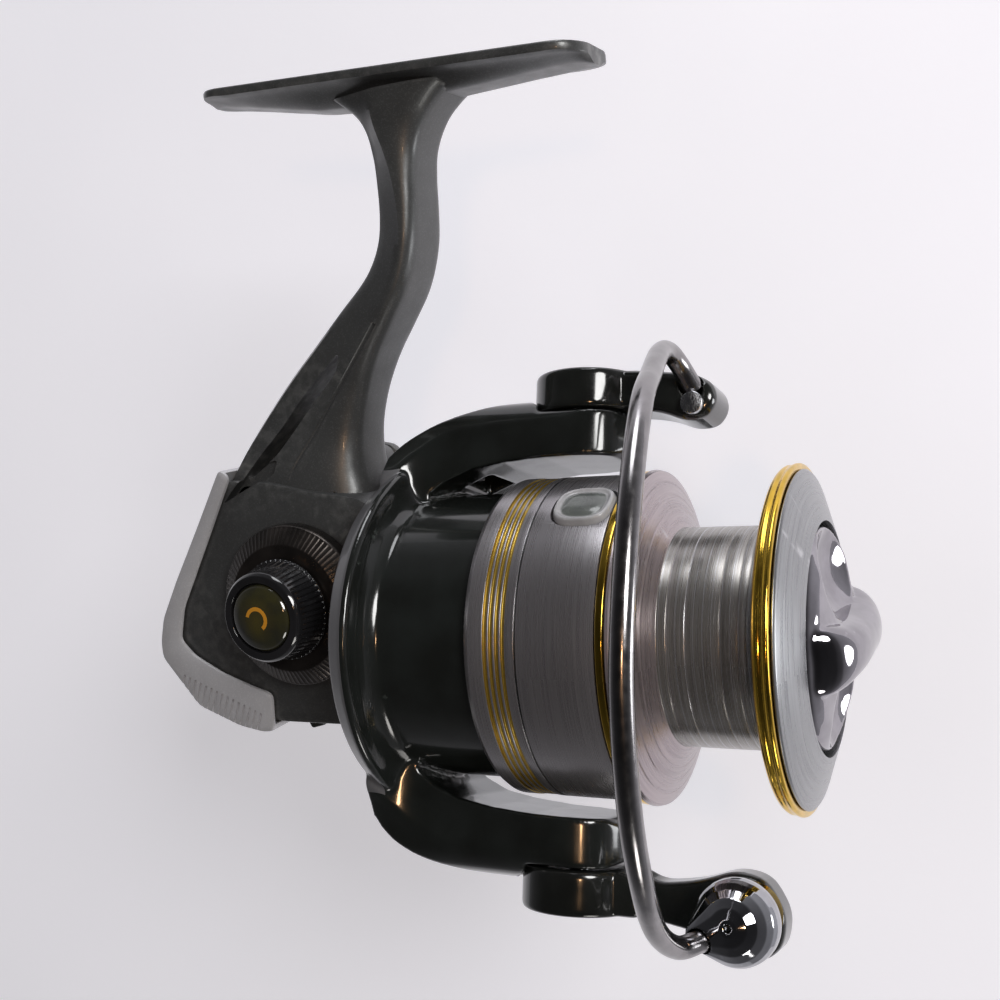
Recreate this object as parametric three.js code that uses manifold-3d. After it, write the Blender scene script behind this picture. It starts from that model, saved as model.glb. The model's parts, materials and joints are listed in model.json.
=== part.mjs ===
// Front-drag spinning reel, size 2500, as an assembly of separate parts.
// Millimetres, +Z up. +X runs along the spool axis towards the front of the reel,
// +Y is the side the handle is on. Everything is laid out about the spool axis (y = z = 0);
// the reel group then puts the origin on the foot's flat seat.
import * as THREE from 'three';
import { mergeVertices } from 'three/addons/utils/BufferGeometryUtils.js';
import { ConvexGeometry } from 'three/addons/geometries/ConvexGeometry.js';
import Module from 'manifold-3d';

const wasm = await Module();
wasm.setup();
const { degToRad, radToDeg } = THREE.MathUtils;

// ---- driving dimensions (mm, angles in degrees) ----
const FOOT_X = 20, FOOT_Z = 79.3;         // centre of the foot seat
const FOOT_TILT = 3.8;                    // seat slopes down towards the front
const DRIVE_Z = 6.4;                      // drive axis above the spool axis
const GEAR_TEETH = 52, PINION_TEETH = 10; // 5.2 : 1
const GEAR_MESH_R = 13;                   // drive gear radius where it meets the pinion
const PINION_R = 3.2;                     // pinion pitch radius
const HELIX = 0.834;                      // tangent of the helix angle
const GEAR_PHASE = 4.75;                  // puts the rest pose in mesh
const OSC_X = -10.5, OSC_PIN_R = 4.25;    // oscillation gear centre and crank-pin radius
const OSC_TEETH = 24, OSC_PINION_TEETH = 12;
const SLIDER_X = -6.5;                    // slider centre at rest
const SHAFT_R = 1.75;
const ROTOR_TURN = -17;                   // rest angle of the rotor about X
const BAIL_X = 41;                        // bail pivot axis
const ARM_SEAT = 30.4;                    // flat seats of the rotor arms, from the spool axis
const ROLLER_X = 64.8, ROLLER_Z = -34.4;  // roller axis in the rotor's own frame
const LIP_R = 22.4;                       // spool lip
const SKIRT_R = 21.9, SKIRT_X = 33.1;     // spool skirt and its rear edge
const CRANK_R = 48, HINGE_Y = 27;         // handle crank radius and hinge
const HANDLE_REST = -35;                  // rest direction from +X, negative is downwards
const FACETS = 0.72;                      // scales the number of sides of lathed shapes

// Axes as the last two arguments of lathe, disc and ring: direction, then a point on it
const DRIVE_AXIS = ['y', [0, 0, DRIVE_Z]];
const OSC_AXIS = ['y', [OSC_X, 0, 0]];
const HINGE_AXIS = ['z', [0, HINGE_Y, 0]];
const KNOB_AXIS = ['y', [CRANK_R, 0, 0]];
const BAIL_AXIS = ['z', [BAIL_X, 0, 0]];
const ROLLER_AXIS = ['y', [ROLLER_X, 0, ROLLER_Z]];

// Columns: colour, roughness, metalness
const FINISHES = {
  paint: [0x2b2e2c, 0.35, 0.75],
  shankPaint: [0x2b2e2c, 0.3, 0.85],
  armPaint: [0x3a3d3c, 0.3, 0.9],
  steel: [0xb9bcc0, 0.3, 1],
  brightSteel: [0xb9bcc0, 0.25, 1],
  shaftSteel: [0xb9bcc0, 0.2, 1],
  brass: [0xb8923f, 0.35, 1],
  pinionBrass: [0xb8923f, 0.3, 1],
  rearCover: [0x9a9a98, 0.35, 0.9],
  collar: [0x2a2422, 0.35, 0.8],
  selector: [0x1a1c1b, 0.4, 0.6],
  capBlack: [0x0b0b0c, 0.15, 0.4],
  lens: [0x6b5410, 0.1, 0],
  grip: [0x151515, 0.6, 0],
  slider: [0xc9c6bc, 0.4, 0.5],
  rotorBlack: [0x0c0f0d, 0.15, 0.5],
  bailBlack: [0x0c0f0d, 0.15, 0.4],
  tripBlack: [0x1b1b1b, 0.5, 0.2],
  pawlBlack: [0x1b1b1b, 0.5, 0],
  coneChrome: [0xd8d8da, 0.08, 1],
  wire: [0x8b8784, 0.2, 1],
  roller: [0xc8a24a, 0.15, 1],
  spool: [0x8f8d90, 0.3, 1],
  lipGold: [0xd8a82a, 0.15, 1],
  skirtGold: [0xd8a82a, 0.2, 1],
  clip: [0x6e716f, 0.35, 0],
  felt: [0x3a2d20, 0.9, 0],
  knobChrome: [0xc9c9cc, 0.08, 1],
};

// ---- solids ----
// Welds a closed geometry and turns its faces outwards
function solid(source) {
  const bare = source.clone().deleteAttribute('normal').deleteAttribute('uv');
  const welded = mergeVertices(bare, 1e-4);
  const points = Float32Array.from(welded.attributes.position.array);
  const index = welded.index.array;
  const triangles = [];
  for (let i = 0; i < index.length; i += 3) {
    const [a, b, c] = index.slice(i, i + 3);
    if (a !== b && b !== c && a !== c) triangles.push(a, b, c);
  }
  const corner = i => new THREE.Vector3().fromArray(points, 3 * triangles[i]);
  let volume = 0;
  for (let i = 0; i < triangles.length; i += 3) {
    volume += corner(i).dot(corner(i + 1).cross(corner(i + 2)));
  }
  if (volume < 0) triangles.reverse();
  return new wasm.Manifold(new wasm.Mesh({
    numProp: 3, vertProperties: points, triVerts: Uint32Array.from(triangles),
  }));
}

function geometry(piece) {
  const mesh = piece.getMesh();
  const result = new THREE.BufferGeometry();
  const points = Float32Array.from(mesh.vertProperties);
  result.setAttribute('position', new THREE.BufferAttribute(points, 3));
  result.setIndex(new THREE.BufferAttribute(Uint32Array.from(mesh.triVerts), 1));
  result.computeVertexNormals();
  return result;
}

const join = (...pieces) => pieces.reduce((a, b) => a.add(b));
const cut = (piece, ...tools) => tools.reduce((a, b) => a.subtract(b), piece);

const X = new THREE.Vector3(1, 0, 0);
const Y = new THREE.Vector3(0, 1, 0);
const Z = new THREE.Vector3(0, 0, 1);
const turned = (source, axis, degrees) =>
  source.applyMatrix4(new THREE.Matrix4().makeRotationAxis(axis, degToRad(degrees)));
const turnedSolid = (piece, axis, degrees) => solid(turned(geometry(piece), axis, degrees));

// Profile points are [radius, distance along the axis]
function lathe(profile, segments, along = 'x', at = [0, 0, 0]) {
  const points = profile.map(([r, h]) => new THREE.Vector2(r, h));
  if (profile[0][0] > 0) points.push(points[0].clone());
  const sides = segments > 8 ? Math.max(8, 2 * Math.round(segments * FACETS / 2)) : segments;
  const result = new THREE.LatheGeometry(points, sides);
  if (along === 'x') result.rotateZ(-Math.PI / 2);
  if (along === 'z') result.rotateX(Math.PI / 2);
  return solid(result.translate(...at));
}
const disc = (r, from, to, segments, ...axis) =>
  lathe([[0, from], [r, from], [r, to], [0, to]], segments, ...axis);
const ring = (inner, outer, from, to, segments, ...axis) =>
  lathe([[inner, from], [outer, from], [outer, to], [inner, to]], segments, ...axis);
const box = (x0, x1, y0, y1, z0, z1) =>
  solid(new THREE.BoxGeometry(x1 - x0, y1 - y0, z1 - z0)
    .translate((x0 + x1) / 2, (y0 + y1) / 2, (z0 + z1) / 2));

function extrude(points, options) {
  const outline = new THREE.Shape(points.map(([u, v]) => new THREE.Vector2(u, v)));
  return new THREE.ExtrudeGeometry(outline, { bevelEnabled: false, ...options });
}
// Outline in X-Z, thickness along Y, with a chamfer
function slabY(points, y0, y1, chamfer = 0) {
  const bevel = chamfer && {
    bevelEnabled: true, bevelThickness: chamfer, bevelSize: chamfer,
    bevelOffset: -chamfer, bevelSegments: 1,
  };
  return extrude(points, { depth: y1 - y0 - 2 * chamfer, ...bevel })
    .rotateX(Math.PI / 2).translate(0, y1 - chamfer, 0);
}
const plateY = (...slab) => solid(slabY(...slab));
// Outline in X-Y, thickness along Z
const plateZ = (points, z0, z1) => solid(extrude(points, { depth: z1 - z0 }).translate(0, 0, z0));
// Outline in Y-Z, thickness along X
const plateX = (points, x0, x1) => solid(extrude(points, { depth: x1 - x0 })
  .applyMatrix4(new THREE.Matrix4().makeBasis(Y, Z, X)).translate(x0, 0, 0));

// Mirror images of an outline's points, in reverse order so that they carry it on
const mirrorU = points => points.map(([u, v]) => [-u, v]).reverse();
const mirrorV = points => points.map(([u, v]) => [u, -v]).reverse();

function circle(r, count, centreU = 0, centreV = 0) {
  return Array.from({ length: count }, (_, i) => {
    const angle = 2 * Math.PI * i / count;
    return [centreU + r * Math.cos(angle), centreV + r * Math.sin(angle)];
  });
}
function tube(points, r, steps, sides) {
  const stations = points.map(p => new THREE.Vector3(...p));
  const extrudePath = new THREE.CatmullRomCurve3(stations, false, 'centripetal');
  return solid(extrude(circle(r, sides), { steps, extrudePath }));
}
// Teeth of a spur gear on a Y axis, as tapered bars rooted 0.5 inside the root circle
function spurTeeth(count, root, tip, y0, y1, centreX, centreZ, phase) {
  const half = Math.PI * (root + tip) / 2 / count * 0.42;
  const edge = [[root - 0.5, -half], [tip, -half * 0.55]];
  return Array.from({ length: count }, (_, i) => solid(
    turned(slabY([...edge, ...mirrorV(edge)], y0, y1), Y, phase + 360 * i / count)
      .translate(centreX, 0, centreZ)));
}

// ---- groups ----
const reel = new THREE.Group();
const rotorFrame = new THREE.Group();
rotorFrame.rotation.x = degToRad(ROTOR_TURN);
reel.add(rotorFrame);

function part(name, piece, finish, parent = reel) {
  const [color, roughness, metalness] = FINISHES[finish];
  const material = new THREE.MeshStandardMaterial({ color, roughness, metalness });
  const mesh = new THREE.Mesh(geometry(piece), material);
  mesh.name = name;
  parent.add(mesh);
}

// ---- body: foot, stem and gear case in one casting ----
const BEARING_SEAT_R = 7.25, BEARING_EXIT_R = 5.6; // stepped holes on the drive axis
const CASE_Y = [-8.2, 8.4];
// x, z of the case's side outline, shared with the side cover
const CASE_SIDE = [
  [-10.4, 26.6], [-15.2, 18.7], [-20.6, 10.6], [-23.7, 5.2], [-24.9, 0.4], [-24.9, -1.9],
  [-19.9, -8.4], [-13.0, -11.2], [-8.9, -12.0], [-6.0, -12.2], [6, -12.2], [13.3, -15.0],
  [13.3, 20.5], [9.5, 24.5], [8.6, 27.4], [-2, 29.5],
];
// x, z, and the y where the screw's boss starts
const COVER_SCREWS = [[-15.5, -7.3, 2.7], [7.5, -9.6, -7], [-8.6, 21.6, -7]];

function makeFoot() {
  const topAt = x => FOOT_Z - Math.tan(degToRad(FOOT_TILT)) * (x - FOOT_X);
  const rearX = -9.8, frontX = 46.8;
  // x, z
  const side = [
    [rearX, topAt(rearX)], [frontX, topAt(frontX)], [49.8, 74.9], [48.6, 75.3], [41.9, 75.4],
    [33, 75.1], [23.4, 74.8], [9.2, 75.7], [4.1, 76.8], [-6.5, 79.0], [rearX, topAt(rearX) - 1.9],
  ];
  // x, y of the -Y edge
  const edge = [
    [rearX, -3.4], [-9.2, -5.0], [-7.6, -6.4], [-4.5, -7.1], [2, -7.3],
    [33, -7.3], [44, -7.2], [47.4, -6.9], [49.0, -5.8], [49.8, -3.8],
  ];
  return plateY(side, -9, 9).intersect(plateZ([...edge, ...mirrorV(edge)], 70, 85));
}

function makeStem() {
  // x, z
  const side = [
    [12.0, 76.5], [16.2, 71.6], [16.6, 64.8], [16.6, 59.4], [15.4, 55.3], [12.8, 51.5],
    [9.0, 47.9], [4.4, 43.4], [-0.8, 38.4], [-6.2, 32.4], [-10.2, 26.9], [-15.4, 18.7],
    [-16.2, 15.6], [4, 8], [9.5, 14], [9.2, 22.0], [9.4, 27.6], [10.8, 33.4], [13.0, 39.0],
    [16.4, 44.4], [19.2, 48.4], [21.2, 52.3], [22.8, 57.6], [23.4, 62.9], [23.9, 68.3],
    [26.2, 72.6], [31.0, 76.2],
  ];
  return plateY(side, -5.2, 5.2, 2.0);
}

function makeCavity() {
  // x, z
  const side = [
    [-12.2, 20.2], [-18.2, 10.6], [-21.4, 4.9], [-22.6, 0.2], [-22.6, -1.2], [-18.9, -6.5],
    [-12.4, -9.4], [6, -10.4], [12, -11.6], [17.0, -10], [17.0, 12], [12.2, 17.5],
    [6, 23.2], [-6, 23.4],
  ];
  // Kept inside the round nose, except behind it
  const limit = disc(16.4, -60, 18.6, 32).add(box(-60, 12.6, -30, 30, -60, 60));
  return plateY(side, -6.7, 12).intersect(limit);
}

function makeBody() {
  const nose = join(disc(17.3, 12.3, 20.0, 32), disc(9.6, 19, 28.0, 24))
    .intersect(box(0, 40, -25, CASE_Y[1], -25, 25));
  // Through window between the two ribs of the lower stem: x, z
  const window = [
    [9.1, 42.2], [8.6, 39.5], [2.6, 33.7], [-2.6, 27.9], [-7.4, 25.0], [-8.5, 24.9],
    [-5.1, 28.6], [-2.0, 31.7], [2.0, 36.0], [5.4, 39.1],
  ];
  // Shallow wedge under the window on the -Y side: x, z
  const wedge = [
    [-2.3, 27.4], [-3.0, 25.3], [-7.6, 23.4], [-12.0, 21.4], [-8.5, 24.9], [-7.0, 26.6],
  ];
  let body = join(makeFoot(), makeStem(), plateY(CASE_SIDE, ...CASE_Y, 1.0), nose,
    disc(9.2, 19, 28.0, 24), disc(10.4, -9.7, -7.5, 28, ...DRIVE_AXIS));
  body = cut(body, makeCavity(),
    // clutch and main bearing seats in the nose
    disc(8.7, 17, 25.6, 24), disc(8.25, 25, 30, 24),
    disc(BEARING_SEAT_R, -9.0, -6, 24, ...DRIVE_AXIS),
    disc(BEARING_EXIT_R, -12, -6, 24, ...DRIVE_AXIS),
    plateY(window, -12, 12), plateY(wedge, -12, -6.2));
  const caseLimit = plateY(CASE_SIDE, ...CASE_Y);
  for (const [x, z, bossY] of COVER_SCREWS) {
    const axis = ['y', [x, 0, z]];
    const boss = disc(2.1, bossY, CASE_Y[1], 12, ...axis).intersect(caseLimit);
    body = cut(join(body, boss), disc(1.3, 3.1, 12, 12, ...axis));
  }
  // Pad behind the oscillation gear
  return join(body, disc(2.6, -7.2, -6.55, 16, ...OSC_AXIS));
}
part('body_housing', makeBody(), 'paint');

// ---- handle-side cover with its bearing boss ----
const makeSideCover = () => cut(
  join(plateY(CASE_SIDE, 8.7, 10.6, 0.6), disc(9.4, 9.2, 13.4, 28, ...DRIVE_AXIS)),
  disc(BEARING_SEAT_R, 7, 12.6, 24, ...DRIVE_AXIS),
  disc(BEARING_EXIT_R, 7, 15, 24, ...DRIVE_AXIS),
  ...COVER_SCREWS.map(([x, z]) => disc(1.35, 7, 12, 12, 'y', [x, 0, z])));
part('side_cover', makeSideCover(), 'paint');

const COVER_SCREW = [
  [0, 3.4], [1.0, 3.4], [1.0, 10.9], [2.1, 10.9], [2.1, 11.5], [1.5, 12.0], [0, 12.0],
];
COVER_SCREWS.forEach(([x, z], i) => {
  const slot = box(x - 2.5, x + 2.5, 11.5, 13, z - 0.3, z + 0.3);
  const screw = cut(lathe(COVER_SCREW, 12, 'y', [x, 0, z]), slot);
  part(`cover_screw_${i + 1}`, screw, 'steel');
});

// ---- rear bumper cover wrapped over the lower rear of the case ----
const REAR_SCREW_AXIS = ['y', [-22.0, 0, -4.4]];

function makeRearCover() {
  // x, z
  const band = [
    [-11.6, 26.8], [-16.9, 18.4], [-22.6, 9.6], [-25.9, 4.0], [-27.0, 0.2], [-27.0, -2.4],
    [-21.0, -10.0], [-13.6, -12.9], [-9.2, -13.7], [-7.2, -13.4], [-6.8, -7.6],
    [-10.4, -6.5], [-15.6, -4.6], [-20.7, -1.9], [-23.0, 0.6], [-21.6, 5.6],
    [-15.0, 16.6], [-9.8, 25.4],
  ];
  // x, z of the case outline plus clearance
  const caseRoom = [
    [-10.0, 27.2], [-15.4, 18.9], [-20.9, 10.8], [-24.05, 5.3], [-25.25, 0.5],
    [-25.25, -2.05], [-20.1, -8.7], [-13.1, -11.55], [-8.9, -12.35], [-4, -12.5],
    [8, -12.5], [8, 27.6],
  ];
  const [screwX, screwZ] = COVER_SCREWS[0];
  // Row of nine grooves across the lower rear face
  const grooves = Array.from({ length: 9 }, (_, i) => solid(
    turned(new THREE.BoxGeometry(0.5, 24, 1.2), Y, 25)
      .translate(-23.2 + i * 1.55, 1, -9.1 - i * 0.62)));
  return cut(plateY(band, -9.0, 11.4, 0.5), plateY(caseRoom, -8.5, 10.9),
    disc(1.0, 10.5, 12.0, 12, ...REAR_SCREW_AXIS),
    disc(2.7, 10.5, 12.0, 14, 'y', [screwX, 0, screwZ]), ...grooves);
}
part('rear_cover', makeRearCover(), 'rearCover');

const REAR_SCREW = [
  [0, 10.8], [0.75, 10.8], [0.75, 11.5], [1.5, 11.5], [1.5, 11.9], [0.9, 12.4], [0, 12.4],
];
part('rear_cover_screw', lathe(REAR_SCREW, 12, ...REAR_SCREW_AXIS), 'steel');

// ---- collar on the -Y side of the case ----
const COLLAR = [
  [6.1, -12.3], [9.4, -12.3], [11.9, -10.6], [11.9, -8.5], [10.8, -8.5], [10.8, -10.0],
  [6.1, -10.0],
];
part('collar_ring', lathe(COLLAR, 36, ...DRIVE_AXIS), 'collar');

// ---- bearings: name, inner and outer radius, start and end along the axis, axis ----
const BEARINGS = [
  ['bearing_near', 4.15, 7.0, -8.7, -6.9, DRIVE_AXIS],
  ['bearing_far', 4.15, 7.0, 9.4, 12.4, DRIVE_AXIS],
  ['one_way_clutch', 3.75, 8.4, 19.4, 23.6, []],
  ['main_bearing', 3.75, 8.0, 23.9, 26.4, []],
];
for (const [name, inner, outer, from, to, axis] of BEARINGS) {
  part(name, ring(inner, outer, from, to, 24, ...axis), 'brightSteel');
}
const circlip = cut(ring(6.4, 8.0, 26.7, 27.3, 24), box(20, 30, -1.0, 1.0, 5, 10));
part('bearing_circlip', circlip, 'steel');

// ---- anti-reverse selector under the case ----
const SELECTOR_TAB = [[-3.2, -12.9], [-3.0, -14.6], [-5.6, -15.3], [-6.4, -13.6], [-5.0, -12.8]];
const selector = join(disc(3.0, -13.6, -12.7, 20, 'z', [-2.2, 0, 0]),
  plateY(SELECTOR_TAB, -1.6, 1.6, 0.3));
part('anti_reverse_lever', selector, 'selector');

// ---- drive train on the handle axis ----
// Pitch radii split the distance between the two axes in proportion to the teeth
const OSC_DISTANCE = Math.hypot(OSC_X, DRIVE_Z);
const OSC_PINION_R = OSC_DISTANCE * OSC_PINION_TEETH / (OSC_TEETH + OSC_PINION_TEETH);
const OSC_R = OSC_DISTANCE - OSC_PINION_R;
const OSC_LINE = radToDeg(Math.atan2(-DRIVE_Z, OSC_X)); // from drive to oscillation axis
const MESH_X = Math.sqrt(GEAR_MESH_R ** 2 - DRIVE_Z ** 2); // where gear and pinion meet

function makeDriveShaft() {
  const profile = [
    [0, -15.6], [2.2, -15.6], [2.2, -10.4], [4.0, -10.4], [4.0, -6.4], [3.8, -6.4],
    [3.8, 2.2], [4.0, 2.2], [4.0, 13.9], [0, 13.9],
  ];
  const root = OSC_PINION_R - 0.6, tip = OSC_PINION_R + 0.35;
  return join(lathe(profile, 20, ...DRIVE_AXIS), disc(root, -6.3, -4.0, 24, ...DRIVE_AXIS),
    ...spurTeeth(OSC_PINION_TEETH, root, tip, -6.3, -4.0, 0, DRIVE_Z, -OSC_LINE));
}
part('drive_shaft', makeDriveShaft(), 'steel');

// Face gear, its slanted teeth standing out towards -Y
function makeDriveGear() {
  const rimY = 3.6;
  const profile = [
    [4.25, 4.4], [12.4, 4.4], [12.7, rimY], [15.2, rimY], [15.2, 5.8], [6.4, 5.8],
    [6.4, 8.2], [4.25, 8.2],
  ];
  const toothHeight = 1.15, toothStandout = 0.75;
  const meshAngle = radToDeg(Math.atan2(DRIVE_Z, MESH_X));
  const slant = radToDeg(Math.atan(HELIX)) - meshAngle;
  let gear = lathe(profile, 40, ...DRIVE_AXIS);
  for (let i = 0; i < GEAR_TEETH; i++) {
    const tooth = turned(new THREE.BoxGeometry(2.4, toothHeight, 0.44), Y, slant)
      .translate(13.95, rimY - toothStandout + toothHeight / 2, 0);
    turned(tooth, Y, 360 * i / GEAR_TEETH + meshAngle + GEAR_PHASE).translate(0, 0, DRIVE_Z);
    gear = gear.add(solid(tooth));
  }
  const holes = circle(9.3, 5, 0, DRIVE_Z).map(([x, z]) => disc(1.9, 3, 9, 8, 'y', [x, 0, z]));
  return cut(gear, ...holes);
}
part('drive_gear', makeDriveGear(), 'brass');

// Cap screw on the -Y side
const CAP = [
  [2.45, -12.6], [7.4, -12.6], [7.0, -14.2], [6.5, -17.6], [6.0, -18.3], [5.0, -18.3],
  [5.0, -17.5], [0, -17.5], [0, -16.0], [2.45, -16.0],
];
const CAP_LENS = [[0, -17.75], [4.8, -17.75], [4.6, -18.3], [3.4, -18.8], [1.8, -19.1], [0, -19.2]];
part('handle_cap', lathe(CAP, 28, ...DRIVE_AXIS), 'capBlack');
part('cap_lens', lathe(CAP_LENS, 28, ...DRIVE_AXIS), 'lens');

// ---- handle, built along +X from the drive axis and turned to its rest direction ----
const handleFrame = new THREE.Group();
handleFrame.position.set(0, 0, DRIVE_Z);
handleFrame.rotation.y = degToRad(-HANDLE_REST);
reel.add(handleFrame);

function makeShank() {
  const profile = [
    [0, 14.2], [4.6, 14.2], [5.2, 15.0], [5.2, 20.0], [4.6, 22.0], [0, 22.0],
  ];
  const fork = box(-4.2, 4.2, 21.5, 31.0, -4.2, 4.2).intersect(disc(5.4, 21, 31.0, 24, 'y'));
  return cut(join(lathe(profile, 24, 'y'), fork),
    box(-6, 6, 23.2, 33, -2.3, 2.3), disc(1.3, -7, 7, 12, ...HINGE_AXIS));
}

function makeHandleArm() {
  // x, y
  const plan = [
    [-3.0, 27.6], [-2.2, 25.2], [0, 24.2], [2.6, 24.9], [18, 34.2], [34, 45.4], [40, 48.6],
    [52.4, 49.4], [53.4, 51.2], [52.0, 53.0], [41, 53.0], [33, 50.4], [15, 38.4],
    [1.5, 30.4], [-1.6, 29.8],
  ];
  return cut(join(plateZ(plan, -2.0, 2.0), disc(5.4, 49.6, 53.0, 24, ...KNOB_AXIS)),
    disc(1.35, -5, 5, 12, ...HINGE_AXIS), disc(1.8, 40, 60, 14, ...KNOB_AXIS));
}

const KNOB_AXLE = [
  [0, 47.9], [3.0, 47.9], [3.0, 48.7], [1.5, 48.7], [1.5, 74.4], [0, 74.4],
];
// Round knob with flats on its +Z and -Z sides
function makeHandleKnob() {
  const profile = [
    [1.75, 53.4], [4.6, 53.4], [5.2, 54.6], [5.4, 58.0], [6.6, 61.5], [8.4, 65.5],
    [9.0, 69.5], [8.6, 73.5], [7.2, 76.2], [5.4, 76.2], [5.4, 74.8], [1.75, 74.8],
  ];
  return cut(lathe(profile, 20, ...KNOB_AXIS),
    box(CRANK_R - 12, CRANK_R + 12, 50, 80, 6.6, 12),
    box(CRANK_R - 12, CRANK_R + 12, 50, 80, -12, -6.6));
}
const KNOB_END_CAP = [[0, 75.1], [5.1, 75.1], [5.1, 76.4], [4.4, 76.9], [0, 76.9]];

part('handle_shank', makeShank(), 'shankPaint', handleFrame);
part('handle_hinge_pin', disc(1.0, -4.0, 4.0, 12, ...HINGE_AXIS), 'steel', handleFrame);
part('handle_arm', makeHandleArm(), 'armPaint', handleFrame);
part('knob_axle', lathe(KNOB_AXLE, 16, ...KNOB_AXIS), 'steel', handleFrame);
part('handle_knob', makeHandleKnob(), 'grip', handleFrame);
part('knob_end_cap', lathe(KNOB_END_CAP, 24, ...KNOB_AXIS), 'brightSteel', handleFrame);

// ---- oscillation gear on the -Y side of the drive gear, with its crank pin ----
function makeOscillationGear() {
  const root = OSC_R - 0.65, tip = OSC_R + 0.3;
  const phase = -(OSC_LINE + 180) + 180 / OSC_TEETH;
  const pinAngle = Math.acos((SLIDER_X - OSC_X) / OSC_PIN_R);
  const pinZ = OSC_PIN_R * Math.sin(pinAngle);
  return join(disc(root, -6.3, -4.2, 36, ...OSC_AXIS),
    ...spurTeeth(OSC_TEETH, root, tip, -6.3, -4.2, OSC_X, 0, phase),
    disc(1.1, -4.4, -3.95, 12, 'y', [SLIDER_X, 0, pinZ]));
}
part('oscillation_gear', makeOscillationGear(), 'brass');

// ---- spool shaft with the oscillation slider ----
part('main_shaft', disc(SHAFT_R, -6.9, 77.4, 16), 'shaftSteel');
const slider = cut(box(SLIDER_X - 1.9, SLIDER_X + 1.9, -3.6, 2.2, -6.5, 6.5),
  box(SLIDER_X - 1.25, SLIDER_X + 1.25, -4, -2.3, -5.8, 5.8), // slot for the crank pin
  disc(SHAFT_R + 0.1, -7.2, 20, 16));
part('oscillation_slider', slider, 'slider');

const ratchetNotches = Array.from({ length: 12 }, (_, i) =>
  solid(turned(new THREE.BoxGeometry(3, 0.9, 0.9).translate(47.4, 5.5, 0), X, 30 * i)));
part('shaft_ratchet', cut(ring(SHAFT_R + 0.1, 5.6, 46.6, 48.2, 24), ...ratchetNotches), 'steel');

// ---- pinion: straight bars wound about the spool axis into helical teeth ----
function makePinion() {
  const profile = [
    [2.0, 7.4], [2.62, 7.4], [2.62, 15.2], [3.55, 15.4], [3.55, 28.4], [2.9, 28.4],
    [2.9, 35.4], [2.0, 35.4],
  ];
  let pinion = lathe(profile, 20);
  for (let i = 0; i < PINION_TEETH; i++) {
    const tooth = new THREE.BoxGeometry(7.6, 1.1, 0.46, 4, 1, 1).translate(11.4, 2.9, 0);
    const position = tooth.attributes.position;
    const point = new THREE.Vector3();
    for (let k = 0; k < position.count; k++) {
      point.fromBufferAttribute(position, k);
      const twist = HELIX * (point.x - MESH_X) / PINION_R;
      point.applyAxisAngle(X, 2 * Math.PI * i / PINION_TEETH - twist);
      position.setXYZ(k, point.x, point.y, point.z);
    }
    pinion = pinion.add(solid(tooth));
  }
  return pinion;
}
part('pinion_gear', makePinion(), 'pinionBrass');

// ---- rotor ----
// The arms sweep out of the rim in a long curve; the lower arm's root is fuller
function makeRotorArms() {
  // x, distance from the spool axis
  const inner = [
    [36, ARM_SEAT], [46.6, ARM_SEAT], [48.2, 29.4], [48.2, 25.4], [46.6, 24.1], [37, 23.9],
    [31, 23.4], [26.3, 22.6], [22.5, 21.0], [20.4, 19.2], [20.4, 17.6],
  ];
  const upper = [
    [13.8, 17.2], [13.8, 24.4], [15.6, 26.6], [18.0, 28.3], [21.5, 30.0], [26.0, 31.5],
    [30, 32.4], [36, 33.1], ...inner,
  ];
  const lower = [
    [13.8, 17.2], [13.8, 25.4], [14.8, 27.4], [16.8, 29.3], [20.6, 31.2], [26.0, 32.4],
    [31, 32.9], [36, 33.2], ...inner,
  ];
  // x, y
  const planEdge = [
    [13.8, -12.4], [15.5, -11.8], [17.6, -10.2], [20.5, -8.9], [24, -8.4], [42, -8.0],
    [46, -6.4], [48.2, -2.6],
  ];
  const plan = [...planEdge, ...mirrorV(planEdge)];
  // y, distance from the spool axis
  const frontEdge = [
    [-13, 0], [-13, 19.5], [-11.8, 22.0], [-10.4, 24.2], [-8.8, 27.2], [-7.8, 29.8],
    [-6.0, 31.9], [-3, 32.9],
  ];
  const front = [...frontEdge, [0, 33.2], ...mirrorU(frontEdge)];
  return [
    plateY(upper, -16, 16).intersect(plateZ(plan, 0, 60)).intersect(plateX(front, 10, 60)),
    plateY(mirrorV(lower), -16, 16).intersect(plateZ(plan, -60, 0))
      .intersect(plateX(mirrorV(front), 10, 60)),
  ];
}

function makeRotor() {
  const rim = [
    [21.4, 13.8], [23.1, 13.8], [24.6, 16.6], [23.9, 17.5], [20.0, 19.5], [20.0, 33.2],
    [6.0, 33.2], [6.0, 28.8], [18.3, 28.8], [18.3, 19.2],
  ];
  const cupInside = [[0, 13.0], [21.3, 13.0], [21.3, 13.8], [18.2, 19.2], [18.2, 28.7], [0, 28.7]];
  const pivotCuts = [1, -1].flatMap(side => [
    disc(8.2, side * ARM_SEAT, side * 40, 32, ...BAIL_AXIS),
    disc(1.7, side * 26, side * 40, 14, ...BAIL_AXIS),
  ]);
  const wallHoles = [45, 135, 225, 315].map(angle => solid(turned(
    new THREE.CylinderGeometry(3.1, 3.1, 8, 10).rotateZ(Math.PI / 2).translate(31, 13, 0),
    X, angle)));
  return cut(join(lathe(rim, 40), ring(3.0, 8, 29.2, 33.0, 24), ...makeRotorArms()),
    ...pivotCuts,
    // room for the bail levers over the +Y side of each seat
    box(33.2, 41, 4.8, 12, ARM_SEAT, 40), box(33.2, 41, 4.8, 12, -40, -ARM_SEAT),
    // channel in the upper arm for the bail spring and trip lever
    box(22.6, 37.5, -2.2, 5.4, 26.2, 29.6), box(22.6, 27.0, -2.2, 5.4, 20.0, 28.6),
    // the arm roots end at the cup's inner wall
    disc(21.3, 0, 14.6, 40), lathe(cupInside, 40), ...wallHoles);
}
part('rotor', makeRotor(), 'rotorBlack', rotorFrame);
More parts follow.
